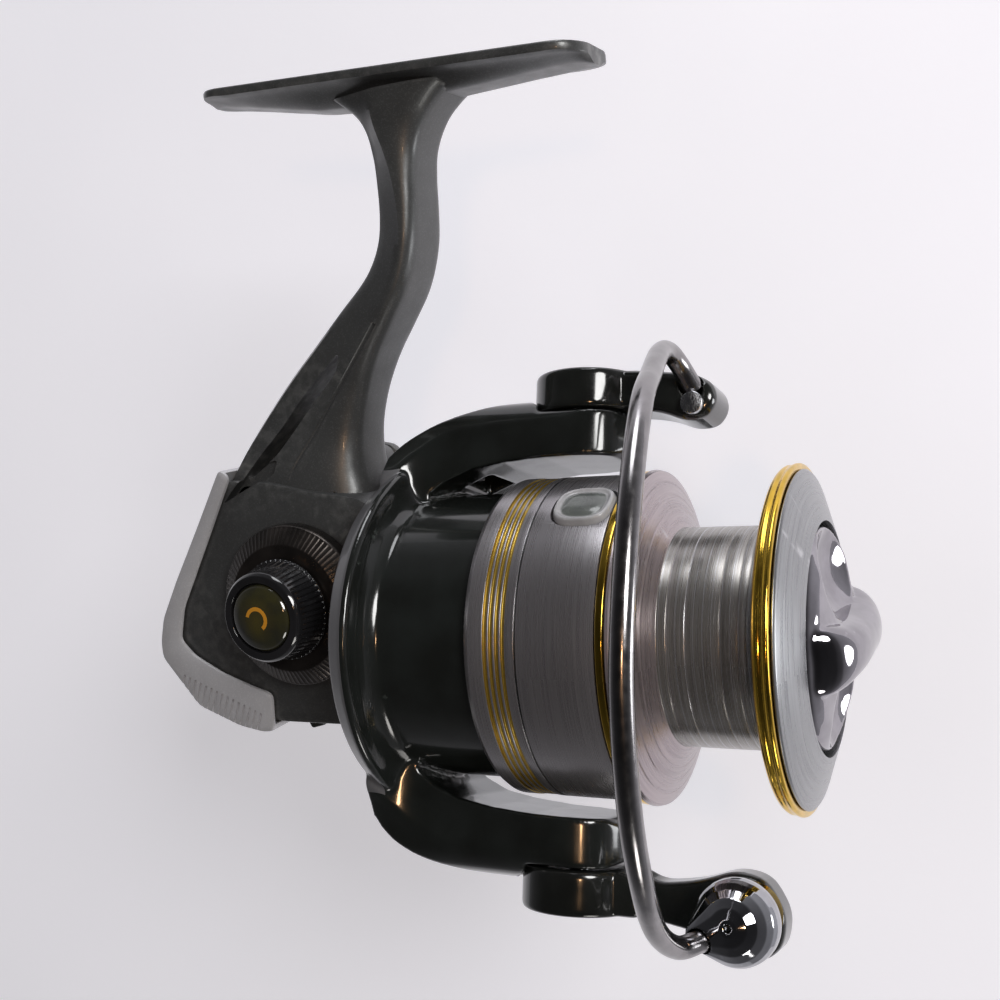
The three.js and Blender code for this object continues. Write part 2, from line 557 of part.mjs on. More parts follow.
const rotorNut = cut(disc(5.4, 33.6, 35.3, 6), disc(3.05, 30, 40, 20));
part('rotor_nut', rotorNut, 'steel', rotorFrame);

// Short coil lying in the upper arm's channel
function makeBailSpring() {
  const turns = 4, steps = 40, coilR = 1.15, length = 8.2;
  const points = Array.from({ length: steps + 1 }, (_, i) => {
    const angle = i / steps * turns * 2 * Math.PI;
    return [28.0 + i / steps * length,
      1.6 + coilR * Math.cos(angle), 27.9 + coilR * Math.sin(angle)];
  });
  return tube(points, 0.28, steps, 4);
}
part('bail_spring', makeBailSpring(), 'steel', rotorFrame);
const tripLever = join(box(23.0, 26.4, -1.6, 4.8, 27.0, 28.2), box(23.0, 24.2, -1.6, 1.0, 22.5, 27.4));
part('trip_lever', tripLever, 'tripBlack', rotorFrame);

const PIVOT_SCREW = [
  [0, 27.2], [1.4, 27.2], [1.4, 36.3], [3.2, 36.3], [3.2, 37.0], [2.6, 37.4], [0, 37.4],
];
const pivotScrew = cut(lathe(PIVOT_SCREW, 16, ...BAIL_AXIS),
  box(BAIL_X - 3.4, BAIL_X + 3.4, -0.35, 0.35, 37.0, 39));
part('bail_pivot_screw_upper', pivotScrew, 'brightSteel', rotorFrame);
part('bail_pivot_screw_lower', turnedSolid(pivotScrew, X, 180), 'brightSteel', rotorFrame);

// ---- bail ----
// x, y, z along the wire from the bail lever round to the cone
const WIRE_PATH = [
  [57.4, -3.8, 32.9], [56.2, -6.4, 35.6], [55.7, -9.4, 36.6], [56.0, -14.0, 35.2],
  [57.9, -23.0, 30.0], [59.6, -31.0, 24.6], [60.8, -37.2, 14.8], [61.1, -39.9, 3.0],
  [60.9, -39.5, -7.5], [60.7, -36.4, -18.4], [60.2, -30.8, -27.0], [59.2, -22.6, -33.6],
  [59.6, -16.0, -36.6], [61.2, -12.2, -36.4], [62.4, -10.8, -35.8],
];
// Clearance hole for the wire in the lever and the cone
const wireRoom = tube([[57.6, -3.0, 32.2], ...WIRE_PATH.slice(1)], 1.75, 30, 8);
const WIRE_SCREW_AXIS = ['y', [57.6, 0, 30.6]];

function makeBailLever() {
  // x, z
  const side = [
    [BAIL_X, 30.7], [49.0, 30.7], [53, 30.0], [56.2, 28.6], [59.2, 28.9], [60.6, 31.2],
    [60.0, 33.6], [57.2, 35.2], [48, 36.4], [BAIL_X, 36.4],
  ];
  const hub = disc(7.7, ARM_SEAT + 0.3, 36.4, 32, ...BAIL_AXIS);
  return cut(join(hub, plateY(side, -4.4, 4.4, 0.8)),
    disc(1.75, 20, 45, 14, ...BAIL_AXIS), disc(3.7, 36.0, 45, 20, ...BAIL_AXIS),
    wireRoom, disc(1.0, -8, -1, 12, ...WIRE_SCREW_AXIS));
}
part('bail_lever', makeBailLever(), 'bailBlack', rotorFrame);

const WIRE_SCREW = [[0, -5.6], [1.5, -5.6], [1.5, -4.7], [0.75, -4.7], [0.75, -1.6], [0, -1.6]];
part('wire_screw', lathe(WIRE_SCREW, 12, ...WIRE_SCREW_AXIS), 'brightSteel', rotorFrame);

function makeBailArm() {
  // x, z of the whole arm and of its thicker root
  const side = [
    [BAIL_X, -30.7], [48.8, -30.7], [52, -32.2], [57.5, -31.4], [62.4, -29.6], [66.4, -30.3],
    [69.0, -34.6], [68.3, -38.8], [65.2, -40.8], [58, -38.0], [49, -36.6], [BAIL_X, -36.6],
  ];
  const root = [[BAIL_X, -30.7], [48.6, -30.7], [51, -31.8], [51, -36.4], [BAIL_X, -36.6]];
  const hub = disc(7.7, -36.6, -ARM_SEAT - 0.3, 32, ...BAIL_AXIS);
  return cut(join(hub, plateY(side, -1.0, 4.8, 0.8), plateY(root, -4.4, 4.6, 0.8)),
    disc(1.75, -45, -20, 14, ...BAIL_AXIS), disc(3.7, -45, -36.0, 20, ...BAIL_AXIS),
    disc(1.15, -3, 8, 12, ...ROLLER_AXIS));
}
part('bail_arm', makeBailArm(), 'bailBlack', rotorFrame);

// Cone on the roller axis, drawn out to a socket round the end of the wire
function makeBailCone() {
  // radius, y
  const rings = [[1.2, -13.2], [3.2, -12.3], [4.7, -10.7], [5.2, -8.8], [5.1, -7.2], [4.4, -6.5]];
  const ringAt = (r, y, count, centreX, centreZ) =>
    circle(r, count, centreX, centreZ).map(([x, z]) => new THREE.Vector3(x, y, z));
  const hull = [
    ...rings.flatMap(([r, y]) => ringAt(r, y, 28, ROLLER_X, ROLLER_Z)),
    ...[-12.3, -11.3, -10.2].flatMap(y => ringAt(1.7, y, 10, 60.9, -35.9)),
  ];
  return cut(solid(new ConvexGeometry(hull)), wireRoom,
    disc(1.15, -12.7, 0, 12, ...ROLLER_AXIS), disc(0.5, -20, -12, 8, ...ROLLER_AXIS));
}
part('bail_cone', makeBailCone(), 'coneChrome', rotorFrame);
part('bail_wire', tube(WIRE_PATH, 1.35, 30, 8), 'wire', rotorFrame);

const LINE_ROLLER = [
  [1.25, -5.9], [4.1, -5.9], [3.2, -4.9], [3.0, -3.4], [3.2, -2.3], [4.1, -1.4], [1.25, -1.4],
];
const ROLLER_SCREW = [
  [0, -12.4], [0.9, -12.4], [0.9, 5.2], [2.1, 5.2], [2.1, 5.9], [1.6, 6.3], [0, 6.3],
];
part('line_roller', lathe(LINE_ROLLER, 28, ...ROLLER_AXIS), 'roller', rotorFrame);
part('roller_screw', lathe(ROLLER_SCREW, 14, ...ROLLER_AXIS), 'brightSteel', rotorFrame);

// ---- spool ----
// Rounded oblong plug through the skirt, between two distances from the spool axis
function clipPlug(halfWidth, halfLength, from, to) {
  const clipX = 46.6, clipTurn = 27;
  const rounded = value => Math.sign(value) * Math.abs(value) ** 0.7;
  const points = Array.from({ length: 16 }, (_, i) => {
    const angle = 2 * Math.PI * (i + 0.5) / 16;
    return [clipX + halfLength * rounded(Math.cos(angle)), halfWidth * rounded(Math.sin(angle))];
  });
  return turnedSolid(plateZ(points, from, to), X, clipTurn);
}

function makeSpool() {
  const profile = [
    [1.95, 49.6], [20.9, 49.6], [20.9, SKIRT_X], [21.4, SKIRT_X], [SKIRT_R, SKIRT_X + 0.8],
    [SKIRT_R, 50.7], [21.3, 50.7], [21.3, 52.3], [LIP_R, 52.3], [LIP_R - 0.2, 53.0],
    [14.5, 56.0], [14.5, 68.0], [19.7, 69.3], [19.7, 72.3], [14.9, 74.4], [14.9, 70.2],
    [12.7, 70.2], [12.7, 62.6], [1.95, 62.6],
  ];
  const skirtGroove = ring(21.5, 23, 35.9, 39.2, 36);
  return join(cut(lathe(profile, 36), skirtGroove, clipPlug(4.0, 4.3, 20.2, 30)),
    clipPlug(4.5, 4.8, 19.0, 20.0));
}
const LIP_RING = [
  [20.0, 69.5], [21.2, 69.4], [22.0, 69.8], [LIP_R, 70.6], [LIP_R - 0.1, 71.7],
  [21.9, 72.3], [20.0, 72.3],
];
const clickPawl = join(box(47.0, 48.2, -1.0, 1.0, 6.3, 10.0),
  disc(1.6, 47.0, 49.2, 14, 'x', [0, 0, 9.6]));
part('spool', makeSpool(), 'spool');
part('spool_lip_ring', lathe(LIP_RING, 36), 'lipGold');
part('skirt_ring', ring(21.55, 22.25, 51.0, 52.0, 36), 'skirtGold');
part('line_clip', clipPlug(3.7, 4.0, 20.3, 22.6), 'clip');
part('click_pawl', clickPawl, 'pawlBlack');

// Drag stack: name, outer radius, rear and front x, finish
const DRAG_WASHERS = [
  ['felt_1', 12.2, 62.9, 63.7, 'felt'],
  ['keyed', 12.0, 64.0, 64.6, 'steel'],
  ['felt_2', 12.2, 64.9, 65.7, 'felt'],
  ['eared', 12.0, 66.0, 66.6, 'steel'],
];
for (const [name, outer, rear, front, finish] of DRAG_WASHERS) {
  part(`drag_washer_${name}`, ring(2.2, outer, rear, front, 20), finish);
}
const dragClip = cut(ring(11.2, 12.4, 67.2, 67.8, 20), box(60, 70, -0.8, 0.8, 9, 14));
part('drag_clip', dragClip, 'steel');

// ---- drag knob with a waisted fin across its front ----
function makeDragKnob() {
  const profile = [
    [0, 68.2], [6.0, 68.2], [6.0, 71.0], [13.6, 71.0], [14.2, 72.0], [14.2, 74.2],
    [12.4, 75.4], [8.0, 76.4], [0, 77.0],
  ];
  // x, y of the -Y half, then y, z of the -Z side
  const planEdge = [[73.1, -13.5], [75.4, -13.4], [78.2, -11.6], [79.8, -7.0]];
  const waist = [[-14, -3.6], [-8, -2.7], [0, -2.3], [8, -2.7], [14, -3.6]];
  const fin = plateZ([...planEdge, [80.2, 0], ...mirrorV(planEdge)], -3.5, 3.5)
    .intersect(plateX([...waist, ...mirrorV(waist)], 70, 82));
  return cut(join(lathe(profile, 30), fin), disc(2.05, 60, 77.7, 16));
}
part('drag_knob', makeDragKnob(), 'knobChrome');

reel.position.set(-FOOT_X, 0, -FOOT_Z);
const assembly = new THREE.Group();
assembly.add(reel);
assembly.updateMatrixWorld(true);

export default assembly;
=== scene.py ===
# Front-drag spinning reel: body, handle, rotor, bail, spool and drag knob.
# Shapes are in mm, with the spool axis along x (drag knob at the front, +x), the foot on
# top (+z) and the handle reaching out along +y. REEL carries them into the frame of the
# solids: metres, with the origin on top of the foot.
import json
from math import copysign, cos, exp, hypot, pi, radians, sin, tan
import bpy
import bmesh
from mathutils import Matrix, Vector

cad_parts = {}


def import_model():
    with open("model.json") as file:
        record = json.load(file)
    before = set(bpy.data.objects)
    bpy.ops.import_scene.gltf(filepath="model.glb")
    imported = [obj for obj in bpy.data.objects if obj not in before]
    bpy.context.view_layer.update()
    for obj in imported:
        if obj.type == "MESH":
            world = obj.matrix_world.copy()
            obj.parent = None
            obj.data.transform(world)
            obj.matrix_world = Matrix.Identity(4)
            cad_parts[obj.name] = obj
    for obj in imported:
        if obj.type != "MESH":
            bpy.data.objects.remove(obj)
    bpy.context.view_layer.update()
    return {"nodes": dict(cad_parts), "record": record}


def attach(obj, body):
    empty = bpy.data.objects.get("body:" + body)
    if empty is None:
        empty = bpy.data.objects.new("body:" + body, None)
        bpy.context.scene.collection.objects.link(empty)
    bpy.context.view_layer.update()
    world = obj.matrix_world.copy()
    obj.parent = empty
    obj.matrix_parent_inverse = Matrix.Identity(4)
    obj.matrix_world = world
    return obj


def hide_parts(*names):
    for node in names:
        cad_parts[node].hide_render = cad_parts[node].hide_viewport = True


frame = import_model()

FOOT_X, FOOT_Z = 20.0, 79.3             # point of the foot's top at the frame's origin
DRIVE_Z = 6.4                           # handle axis above the spool axis
DRIVE = (0, 0, DRIVE_Z)
REEL = Matrix.Scale(0.001, 4) @ Matrix.Translation((-FOOT_X, 0, -FOOT_Z))
ROTOR = REEL @ Matrix.Rotation(radians(-17), 4, "X")
HANDLE = REEL @ Matrix.Translation(DRIVE) @ Matrix.Rotation(radians(35), 4, "Y")

GROOVES_X, GROOVE_PITCH = 35.9, 0.825   # gold grooves round the spool skirt
CLIP_X, CLIP_TURN = 46.6, radians(27)   # line clip on the skirt


# ---------------------------------------------------------------- mesh tools, in mm
def new_object(mesh):
    obj = bpy.data.objects.new("m", mesh)
    bpy.context.scene.collection.objects.link(obj)
    return obj


def from_bmesh(bm):
    mesh = bpy.data.meshes.new("m")
    bm.to_mesh(mesh)
    bm.free()
    return new_object(mesh)


def make(verts, faces, triangulate=False):
    """Welded object with its faces turned outward."""
    mesh = bpy.data.meshes.new("m")
    mesh.from_pydata([tuple(v) for v in verts], [], faces)
    bm = bmesh.new()
    bm.from_mesh(mesh)
    bpy.data.meshes.remove(mesh)
    bmesh.ops.remove_doubles(bm, verts=bm.verts, dist=1e-5)
    if triangulate:
        bmesh.ops.triangulate(bm, faces=bm.faces)
    bmesh.ops.recalc_face_normals(bm, faces=bm.faces)
    if bm.calc_volume(signed=True) < 0:
        bmesh.ops.reverse_faces(bm, faces=bm.faces)
    return from_bmesh(bm)


def drop(obj):
    mesh = obj.data
    bpy.data.objects.remove(obj)
    bpy.data.meshes.remove(mesh)


def bake(obj):
    """Apply the modifiers."""
    bpy.context.view_layer.update()
    depsgraph = bpy.context.evaluated_depsgraph_get()
    mesh = bpy.data.meshes.new_from_object(obj.evaluated_get(depsgraph))
    old = obj.data
    obj.modifiers.clear()
    obj.data = mesh
    bpy.data.meshes.remove(old)


def boolean(obj, operation, others):
    for other in others:
        mod = obj.modifiers.new("b", "BOOLEAN")
        mod.operation = operation
        mod.solver = "EXACT"
        mod.object = other
        bake(obj)
        drop(other)
    return obj


def union(obj, *others):
    return boolean(obj, "UNION", others)


def cut(obj, *others):
    return boolean(obj, "DIFFERENCE", others)


def common(obj, *others):
    return boolean(obj, "INTERSECT", others)


def joined(*objs):
    """One object holding all the shells, left overlapping."""
    bm = bmesh.new()
    for obj in objs:
        bm.from_mesh(obj.data)
    for obj in objs:
        drop(obj)
    return from_bmesh(bm)


def remesh(obj, voxel, smooth):
    """Fuse the shells on a voxel grid, smooth them and drop stray specks."""
    mod = obj.modifiers.new("r", "REMESH")
    mod.mode = "VOXEL"
    mod.voxel_size = voxel
    mod = obj.modifiers.new("s", "SMOOTH")
    mod.factor = 0.5
    mod.iterations = smooth
    bake(obj)
    bm = bmesh.new()
    bm.from_mesh(obj.data)
    seen, shells = set(), []
    for start in bm.verts:
        if start in seen:
            continue
        stack, shell = [start], []
        seen.add(start)
        while stack:
            vert = stack.pop()
            shell.append(vert)
            for edge in vert.link_edges:
                other = edge.other_vert(vert)
                if other not in seen:
                    seen.add(other)
                    stack.append(other)
        shells.append(shell)
    shells.sort(key=len)
    specks = [v for shell in shells[:-1] if len(shell) < 400 for v in shell]
    if specks:
        bmesh.ops.delete(bm, geom=specks, context="VERTS")
    bm.to_mesh(obj.data)
    bm.free()
    return obj


def corner(before, tip, after, radius, steps):
    """Rounded corner at tip, or tip alone where the outline runs nearly straight."""
    ax, ay = before[0] - tip[0], before[1] - tip[1]
    bx, by = after[0] - tip[0], after[1] - tip[1]
    la, lb = hypot(ax, ay), hypot(bx, by)
    if min(la, lb) < 1e-9 or (ax*bx + ay*by) / la / lb < -0.998:
        return [tip]
    reach = min(radius, 0.46*la, 0.46*lb)
    start = (tip[0] + ax/la*reach, tip[1] + ay/la*reach)
    end = (tip[0] + bx/lb*reach, tip[1] + by/lb*reach)
    return [tuple((1-t)**2*s + 2*t*(1-t)*p + t*t*e for s, p, e in zip(start, tip, end))
            for t in [i/steps for i in range(steps + 1)]]


def rounded(points, radius, steps=4):
    out = []
    for i, tip in enumerate(points):
        out += corner(points[i-1], tip, points[(i+1) % len(points)], radius, steps)
    return out


def lathe(profile, n=144, along="x", at=(0, 0, 0), fillet=0.12, flute=None):
    """Turn (radius, height) points round an axis; the profile closes on itself unless it
    starts on the axis. flute(radius, height, angle) gives a changed radius."""
    points = [tuple(p) for p in profile]
    closed = points[0][0] > 0
    if fillet and closed:
        points = rounded(points, fillet, 3)
    elif fillet:
        inner = [q for trio in zip(points, points[1:], points[2:])
                 for q in corner(*trio, fillet, 3)]
        points = [points[0]] + inner + [points[-1]]
    verts, rows = [], []
    for r, h in points:
        row = []
        for i in range(1 if r < 1e-6 else n):
            a = 2*pi*i/n
            q = flute(r, h, a) if flute and r > 1e-6 else r
            c, s = q*cos(a), q*sin(a)
            p = {"x": (h, c, s), "y": (s, h, c), "z": (c, s, h)}[along]
            row.append(len(verts))
            verts.append((p[0] + at[0], p[1] + at[1], p[2] + at[2]))
        rows.append(row)
    faces = []
    for k in range(len(rows) if closed else len(rows) - 1):
        low, high = rows[k], rows[(k+1) % len(rows)]
        for i in range(n):
            j = (i+1) % n
            if len(low) == 1:
                faces.append((low[0], high[i], high[j]))
            elif len(high) == 1:
                faces.append((low[i], low[j], high[0]))
            else:
                faces.append((low[i], low[j], high[j], high[i]))
    return make(verts, faces)


def disc(r, a, b, n=96, along="x", at=(0, 0, 0), fillet=0):
    """Cylinder of radius r from a to b."""
    return lathe([(0, a), (r, a), (r, b), (0, b)], n, along, at, fillet)


def ring(ri, ro, a, b, n=96, along="x", at=(0, 0, 0), fillet=0):
    return lathe([(ri, a), (ro, a), (ro, b), (ri, b)], n, along, at, fillet)


def band_faces(rings, n):
    """Quads between neighbouring rings of n vertices."""
    return [(k*n+i, k*n+(i+1) % n, (k+1)*n+(i+1) % n, (k+1)*n+i)
            for k in range(rings - 1) for i in range(n)]


def loft(sections, triangulate=True):
    n, count = len(sections[0]), len(sections)
    ends = [tuple(range(n)), tuple(range((count-1)*n, count*n))]
    return make([p for section in sections for p in section],
                ends + band_faces(count, n), triangulate)


def inset(points, depth):
    n = len(points)
    pairs = [(points[i], points[(i+1) % n]) for i in range(n)]
    sign = 1 if sum(p[0]*q[1] - q[0]*p[1] for p, q in pairs) > 0 else -1
    out = []
    for i, p in enumerate(points):
        before, after = points[i-1], points[(i+1) % n]
        du, dv = after[0] - before[0], after[1] - before[1]
        length = hypot(du, dv) or 1
        out.append((p[0] - sign*dv/length*depth, p[1] + sign*du/length*depth))
    return out


def prism(points, a, b, along="y", bevel=0.0):
    """Outline in the two other axes, run from a to b; bevel shrinks it near both ends."""
    levels = [(a, 0), (b, 0)]
    if bevel:
        levels = [(a, bevel), (a + bevel*0.3, bevel*0.3), (a + bevel, 0),
                  (b - bevel, 0), (b - bevel*0.3, bevel*0.3), (b, bevel)]
    return loft([[{"y": (u, h, v), "z": (u, v, h), "x": (h, u, v)}[along]
                  for u, v in inset(points, depth)] for h, depth in levels])


def plate(points, radius, a, b, along="y", bevel=0.0):
    """Prism with rounded corners."""
    return prism(rounded(points, radius), a, b, along, bevel)


def box(x0, x1, y0, y1, z0, z1):
    return prism([(x0, z0), (x1, z0), (x1, z1), (x0, z1)], y0, y1)


def spline(points, steps):
    knots = [Vector(p) for p in points]
    knots = [knots[0]*2 - knots[1]] + knots + [knots[-1]*2 - knots[-2]]
    out, spans = [], len(knots) - 3
    for step in range(steps + 1):
        u = step/steps*spans
        i = min(int(u), spans - 1)
        t = u - i
        a, b, c, d = knots[i:i+4]
        out.append(0.5*((2*b) + (c-a)*t + (2*a-5*b+4*c-d)*t*t + (3*b-a-3*c+d)*t**3))
    return out


def flat_spline(points, steps):
    return [(v.x, v.y) for v in spline([(*p, 0) for p in points], steps)]


def tube(points, r, steps=120, sides=20):
    path = spline(points, steps)
    tangents = [(path[min(i+1, steps)] - path[max(i-1, 0)]).normalized()
                for i in range(steps + 1)]
    up = tangents[0].orthogonal().normalized()
    rings = []
    for p, tangent in zip(path, tangents):
        up = (up - tangent*up.dot(tangent)).normalized()
        side = tangent.cross(up)
        angles = [2*pi*k/sides for k in range(sides)]
        rings.append([p + (up*cos(a) + side*sin(a))*r for a in angles])
    return loft(rings, triangulate=False)


def curve(table, x):
    """Smooth interpolation through (x, value) pairs, level beyond the ends."""
    if x <= table[0][0]:
        return table[0][1]
    if x >= table[-1][0]:
        return table[-1][1]
    last = len(table) - 1

    def slope(k):
        (xa, va), (xb, vb) = table[max(k-1, 0)], table[min(k+1, last)]
        return (vb - va)/(xb - xa)

    i = max(k for k in range(last) if table[k][0] <= x)
    (x0, v0), (x1, v1) = table[i], table[i+1]
    h = x1 - x0
    t = (x - x0)/h
    return ((2*t**3-3*t*t+1)*v0 + (t**3-2*t*t+t)*h*slope(i)
            + (-2*t**3+3*t*t)*v1 + (t**3-t*t)*h*slope(i+1))


def mirrored(half):
    """Closed section from its half at y >= 0, which starts and ends at y = 0."""
    return [(x, -y, z) for x, y, z in half] + half[-2:0:-1]


def placed(obj, matrix):
    obj.data.transform(matrix)
    return obj


# ---------------------------------------------------------------- materials
MATERIALS = {}


def feed(socket, value):
    if hasattr(value, "links"):
        socket.id_data.links.new(value, socket)
    else:
        socket.default_value = value


def add_node(tree, kind, *values, **settings):
    """New node; values go to its first inputs in turn."""
    node = tree.nodes.new("ShaderNode" + kind)
    for name, value in settings.items():
        setattr(node, name, value)
    for socket, value in zip(node.inputs, values):
        feed(socket, value)
    return node


class Shader:
    """Principled material; pattern sizes and places are in mm."""

    def __init__(self, name):
        self.material = MATERIALS[name] = bpy.data.materials.new(name)
        self.material.use_nodes = True
        self.tree = self.material.node_tree
        self.tree.nodes.clear()
        self.principled = self.node("BsdfPrincipled")
        self.output = self.node("OutputMaterial", self.principled.outputs[0])
        scale = self.node("VectorMath", self.node("TexCoord").outputs["Object"],
                          operation="SCALE")
        scale.inputs["Scale"].default_value = 1000
        self.place = scale.outputs[0]
        self.normal = None

    def node(self, kind, *values, **settings):
        return add_node(self.tree, kind, *values, **settings)

    def set(self, **values):
        for name, value in values.items():
            feed(self.principled.inputs[name.replace("_", " ")], value)

    def xyz(self):
        return self.node("SeparateXYZ", self.place).outputs

    def math(self, operation, a, b=0.0):
        return self.node("Math", a, b, operation=operation).outputs[0]

    def times(self, a, b):
        return self.math("MULTIPLY", a, b)

    def plus(self, a, b):
        return self.math("ADD", a, b)

    def above(self, a, b):
        return self.math("GREATER_THAN", a, b)

    def within(self, value, low, high):
        return self.times(self.above(value, low), self.math("LESS_THAN", value, high))

    def radius(self, a, b):
        squares = self.math("POWER", a, 2), self.math("POWER", b, 2)
        return self.math("SQRT", self.plus(*squares))

    def angle(self, side, side_0, z, z_0):
        """Angle round the point (side_0, z_0)."""
        rise = self.math("SUBTRACT", z, z_0)
        return self.math("ARCTAN2", rise, self.math("SUBTRACT", side, side_0))

    def noise(self, size, detail=3.0, place=None, stretch=None):
        place = place or self.place
        if stretch:
            place = self.node("VectorMath", place, stretch, operation="MULTIPLY").outputs[0]
        node = self.node("TexNoise", place)
        node.inputs["Scale"].default_value = 1.0/size
        node.inputs["Detail"].default_value = detail
        return node.outputs["Fac"]

    def cells(self, size):
        node = self.node("TexVoronoi", self.place)
        node.inputs["Scale"].default_value = 1.0/size
        return self.node("SeparateColor", node.outputs["Color"]).outputs[0]

    def span(self, value, low, high, to_low=0.0, to_high=1.0):
        return self.node("MapRange", value, low, high, to_low, to_high, clamp=True).outputs[0]

    def mix(self, factor, a, b):
        node = self.node("Mix", factor, data_type="RGBA")
        for socket, value in ((node.inputs[6], a), (node.inputs[7], b)):
            feed(socket, value if hasattr(value, "links") else (*value, 1))
        return node.outputs[2]

    def mottled(self, pattern, a, b, low=0.35, high=0.65):
        return self.mix(self.span(pattern, low, high), a, b)

    def worn(self, color, wear, amount, low=0.52, high=0.58):
        """Let the wear colour through on sharp edges, in patches."""
        sharp = self.node("NewGeometry").outputs["Pointiness"]
        patches = self.span(self.noise(size=1.6), 0.42, 0.62)
        edges = self.times(self.span(sharp, low, high), patches)
        return self.mix(self.times(edges, amount), color, wear)

    def varied(self, middle, swing, pattern=None):
        pattern = pattern or self.noise(size=3.0, detail=5)
        return self.span(pattern, 0.3, 0.7, middle - swing, middle + swing)

    def bump(self, height, depth):
        node = self.node("Bump")
        node.inputs["Distance"].default_value = depth/1000
        node.inputs["Strength"].default_value = 1.0
        feed(node.inputs["Height"], height)
        if self.normal:
            feed(node.inputs["Normal"], self.normal)
        self.normal = node.outputs[0]
        self.set(Normal=self.normal)


def scaled(color, k):
    return tuple(min(1, v*k) for v in color)


def paint(name, color, metallic, rough, flake, coat, wear=(0.35, 0.35, 0.34)):
    m = Shader(name)
    tone = m.mottled(m.noise(size=7), scaled(color, 0.94), scaled(color, 1.06), 0.3, 0.7)
    flakes = m.times(m.span(m.cells(size=0.16), 0.72, 1.0), flake)
    tone = m.mix(flakes, tone, scaled(color, 3.4))
    m.set(Base_Color=m.worn(tone, wear, amount=0.35), Roughness=m.varied(rough, swing=0.06),
          Metallic=metallic, Coat_Weight=coat, Coat_Roughness=0.08)
    m.bump(m.noise(size=0.22, detail=2), depth=0.006)
    m.bump(m.noise(size=2.6, detail=2), depth=0.02)


def plastic(name, color, rough, swing=0.06, grain=0.3, depth=0.01, coat=0.0):
    m = Shader(name)
    tone = m.mottled(m.noise(size=5), scaled(color, 0.85), scaled(color, 1.3))
    m.set(Base_Color=m.worn(tone, scaled(color, 3.0), amount=0.25),
          Roughness=m.varied(rough, swing), Coat_Weight=coat, Coat_Roughness=0.05)
    m.bump(m.noise(grain), depth)


def metal(name, color, rough, swing, stretch=(1, 1, 1), depth=0.004, grain=0.4, wear=None):
    m = Shader(name)
    tone = m.mottled(m.noise(size=3, detail=4, stretch=stretch),
                     scaled(color, 0.86), scaled(color, 1.08))
    streaks = m.noise(size=1.1, detail=6, stretch=stretch)
    m.set(Base_Color=m.worn(tone, wear or scaled(color, 1.4), amount=0.4),
          Roughness=m.varied(rough, swing, streaks), Metallic=1.0)
    m.bump(m.noise(grain, detail=4, stretch=stretch), depth)


def rotor_gloss():
    """Glossy black with a satin grey band on the rear rim."""
    m = Shader("rotor_gloss")
    x, y, z = m.xyz()
    radius = m.radius(y, m.plus(z, FOOT_Z))
    band = m.times(m.math("LESS_THAN", x, -3.45), m.math("LESS_THAN", radius, 25.2))
    black = m.mottled(m.noise(size=6), (0.008, 0.009, 0.008), (0.012, 0.014, 0.013))
    black = m.worn(black, (0.10, 0.12, 0.11), amount=0.25)
    gloss = m.span(m.noise(size=4, detail=4), 0.3, 0.7, to_low=0.10, to_high=0.20)
    m.set(Base_Color=m.mix(band, black, (0.085, 0.085, 0.090)),
          Roughness=m.plus(gloss, m.times(band, 0.24)), Coat_Weight=0.5, Coat_Roughness=0.06)
    m.bump(m.noise(size=0.25, detail=2), depth=0.0015)


def collar_dark():
    """Dark anodised metal."""
    m = Shader("collar_dark")
    m.set(Base_Color=m.mottled(m.noise(size=4), (0.048, 0.043, 0.040), (0.080, 0.070, 0.064)),
          Roughness=m.varied(0.3, swing=0.08), Metallic=0.9)
    m.bump(m.noise(size=0.3), depth=0.006)


def amber_lens():
    """Dark ground, glowing at the middle, under a broken amber ring."""
    m = Shader("amber_lens")
    x, y, z = m.xyz()
    lens_z = DRIVE_Z - FOOT_Z
    radius = m.radius(m.plus(x, FOOT_X), m.plus(z, -lens_z))
    ground = m.mottled(m.noise(size=3.5), (0.012, 0.013, 0.012), (0.030, 0.028, 0.010),
                       0.3, 0.7)
    glow = m.span(radius, 0.2, 3.4, to_low=1.0, to_high=0.0)
    ground = m.mix(m.times(glow, 0.35), ground, (0.10, 0.075, 0.010))
    turn = m.math("SINE", m.plus(m.angle(x, -FOOT_X, z, lens_z), 0.6))
    arcs = m.times(m.within(radius, 1.25, 1.8), m.above(turn, -0.35))
    m.set(Base_Color=m.mix(arcs, ground, (0.50, 0.22, 0.02)),
          Roughness=m.varied(0.09, swing=0.03), Coat_Weight=1.0, Coat_Roughness=0.02)
    m.bump(m.noise(size=1.5), depth=0.004)


def grey_plastic():
    """Line clip: pale rim round a darker green-grey centre."""
    m = Shader("grey_plastic")
    x, y, z = m.xyz()
    across = m.plus(m.times(y, cos(CLIP_TURN)), m.times(m.plus(z, FOOT_Z), sin(CLIP_TURN)))
    parts = []
    for offset, half in ((m.math("SUBTRACT", x, CLIP_X - FOOT_X), 2.95), (across, 2.65)):
        share = m.math("ABSOLUTE", m.math("DIVIDE", offset, half))
        parts.append(m.math("POWER", share, 2.8))
    centre = m.mottled(m.noise(size=2), (0.10, 0.11, 0.105), (0.13, 0.145, 0.135))
    rim = m.mottled(m.noise(size=3), (0.36, 0.36, 0.37), (0.43, 0.43, 0.44))
    m.set(Base_Color=m.mottled(m.plus(*parts), centre, rim, 0.85, 1.1),
          Roughness=m.varied(0.26, swing=0.06), Coat_Weight=0.4)
    m.bump(m.noise(size=0.3), depth=0.006)


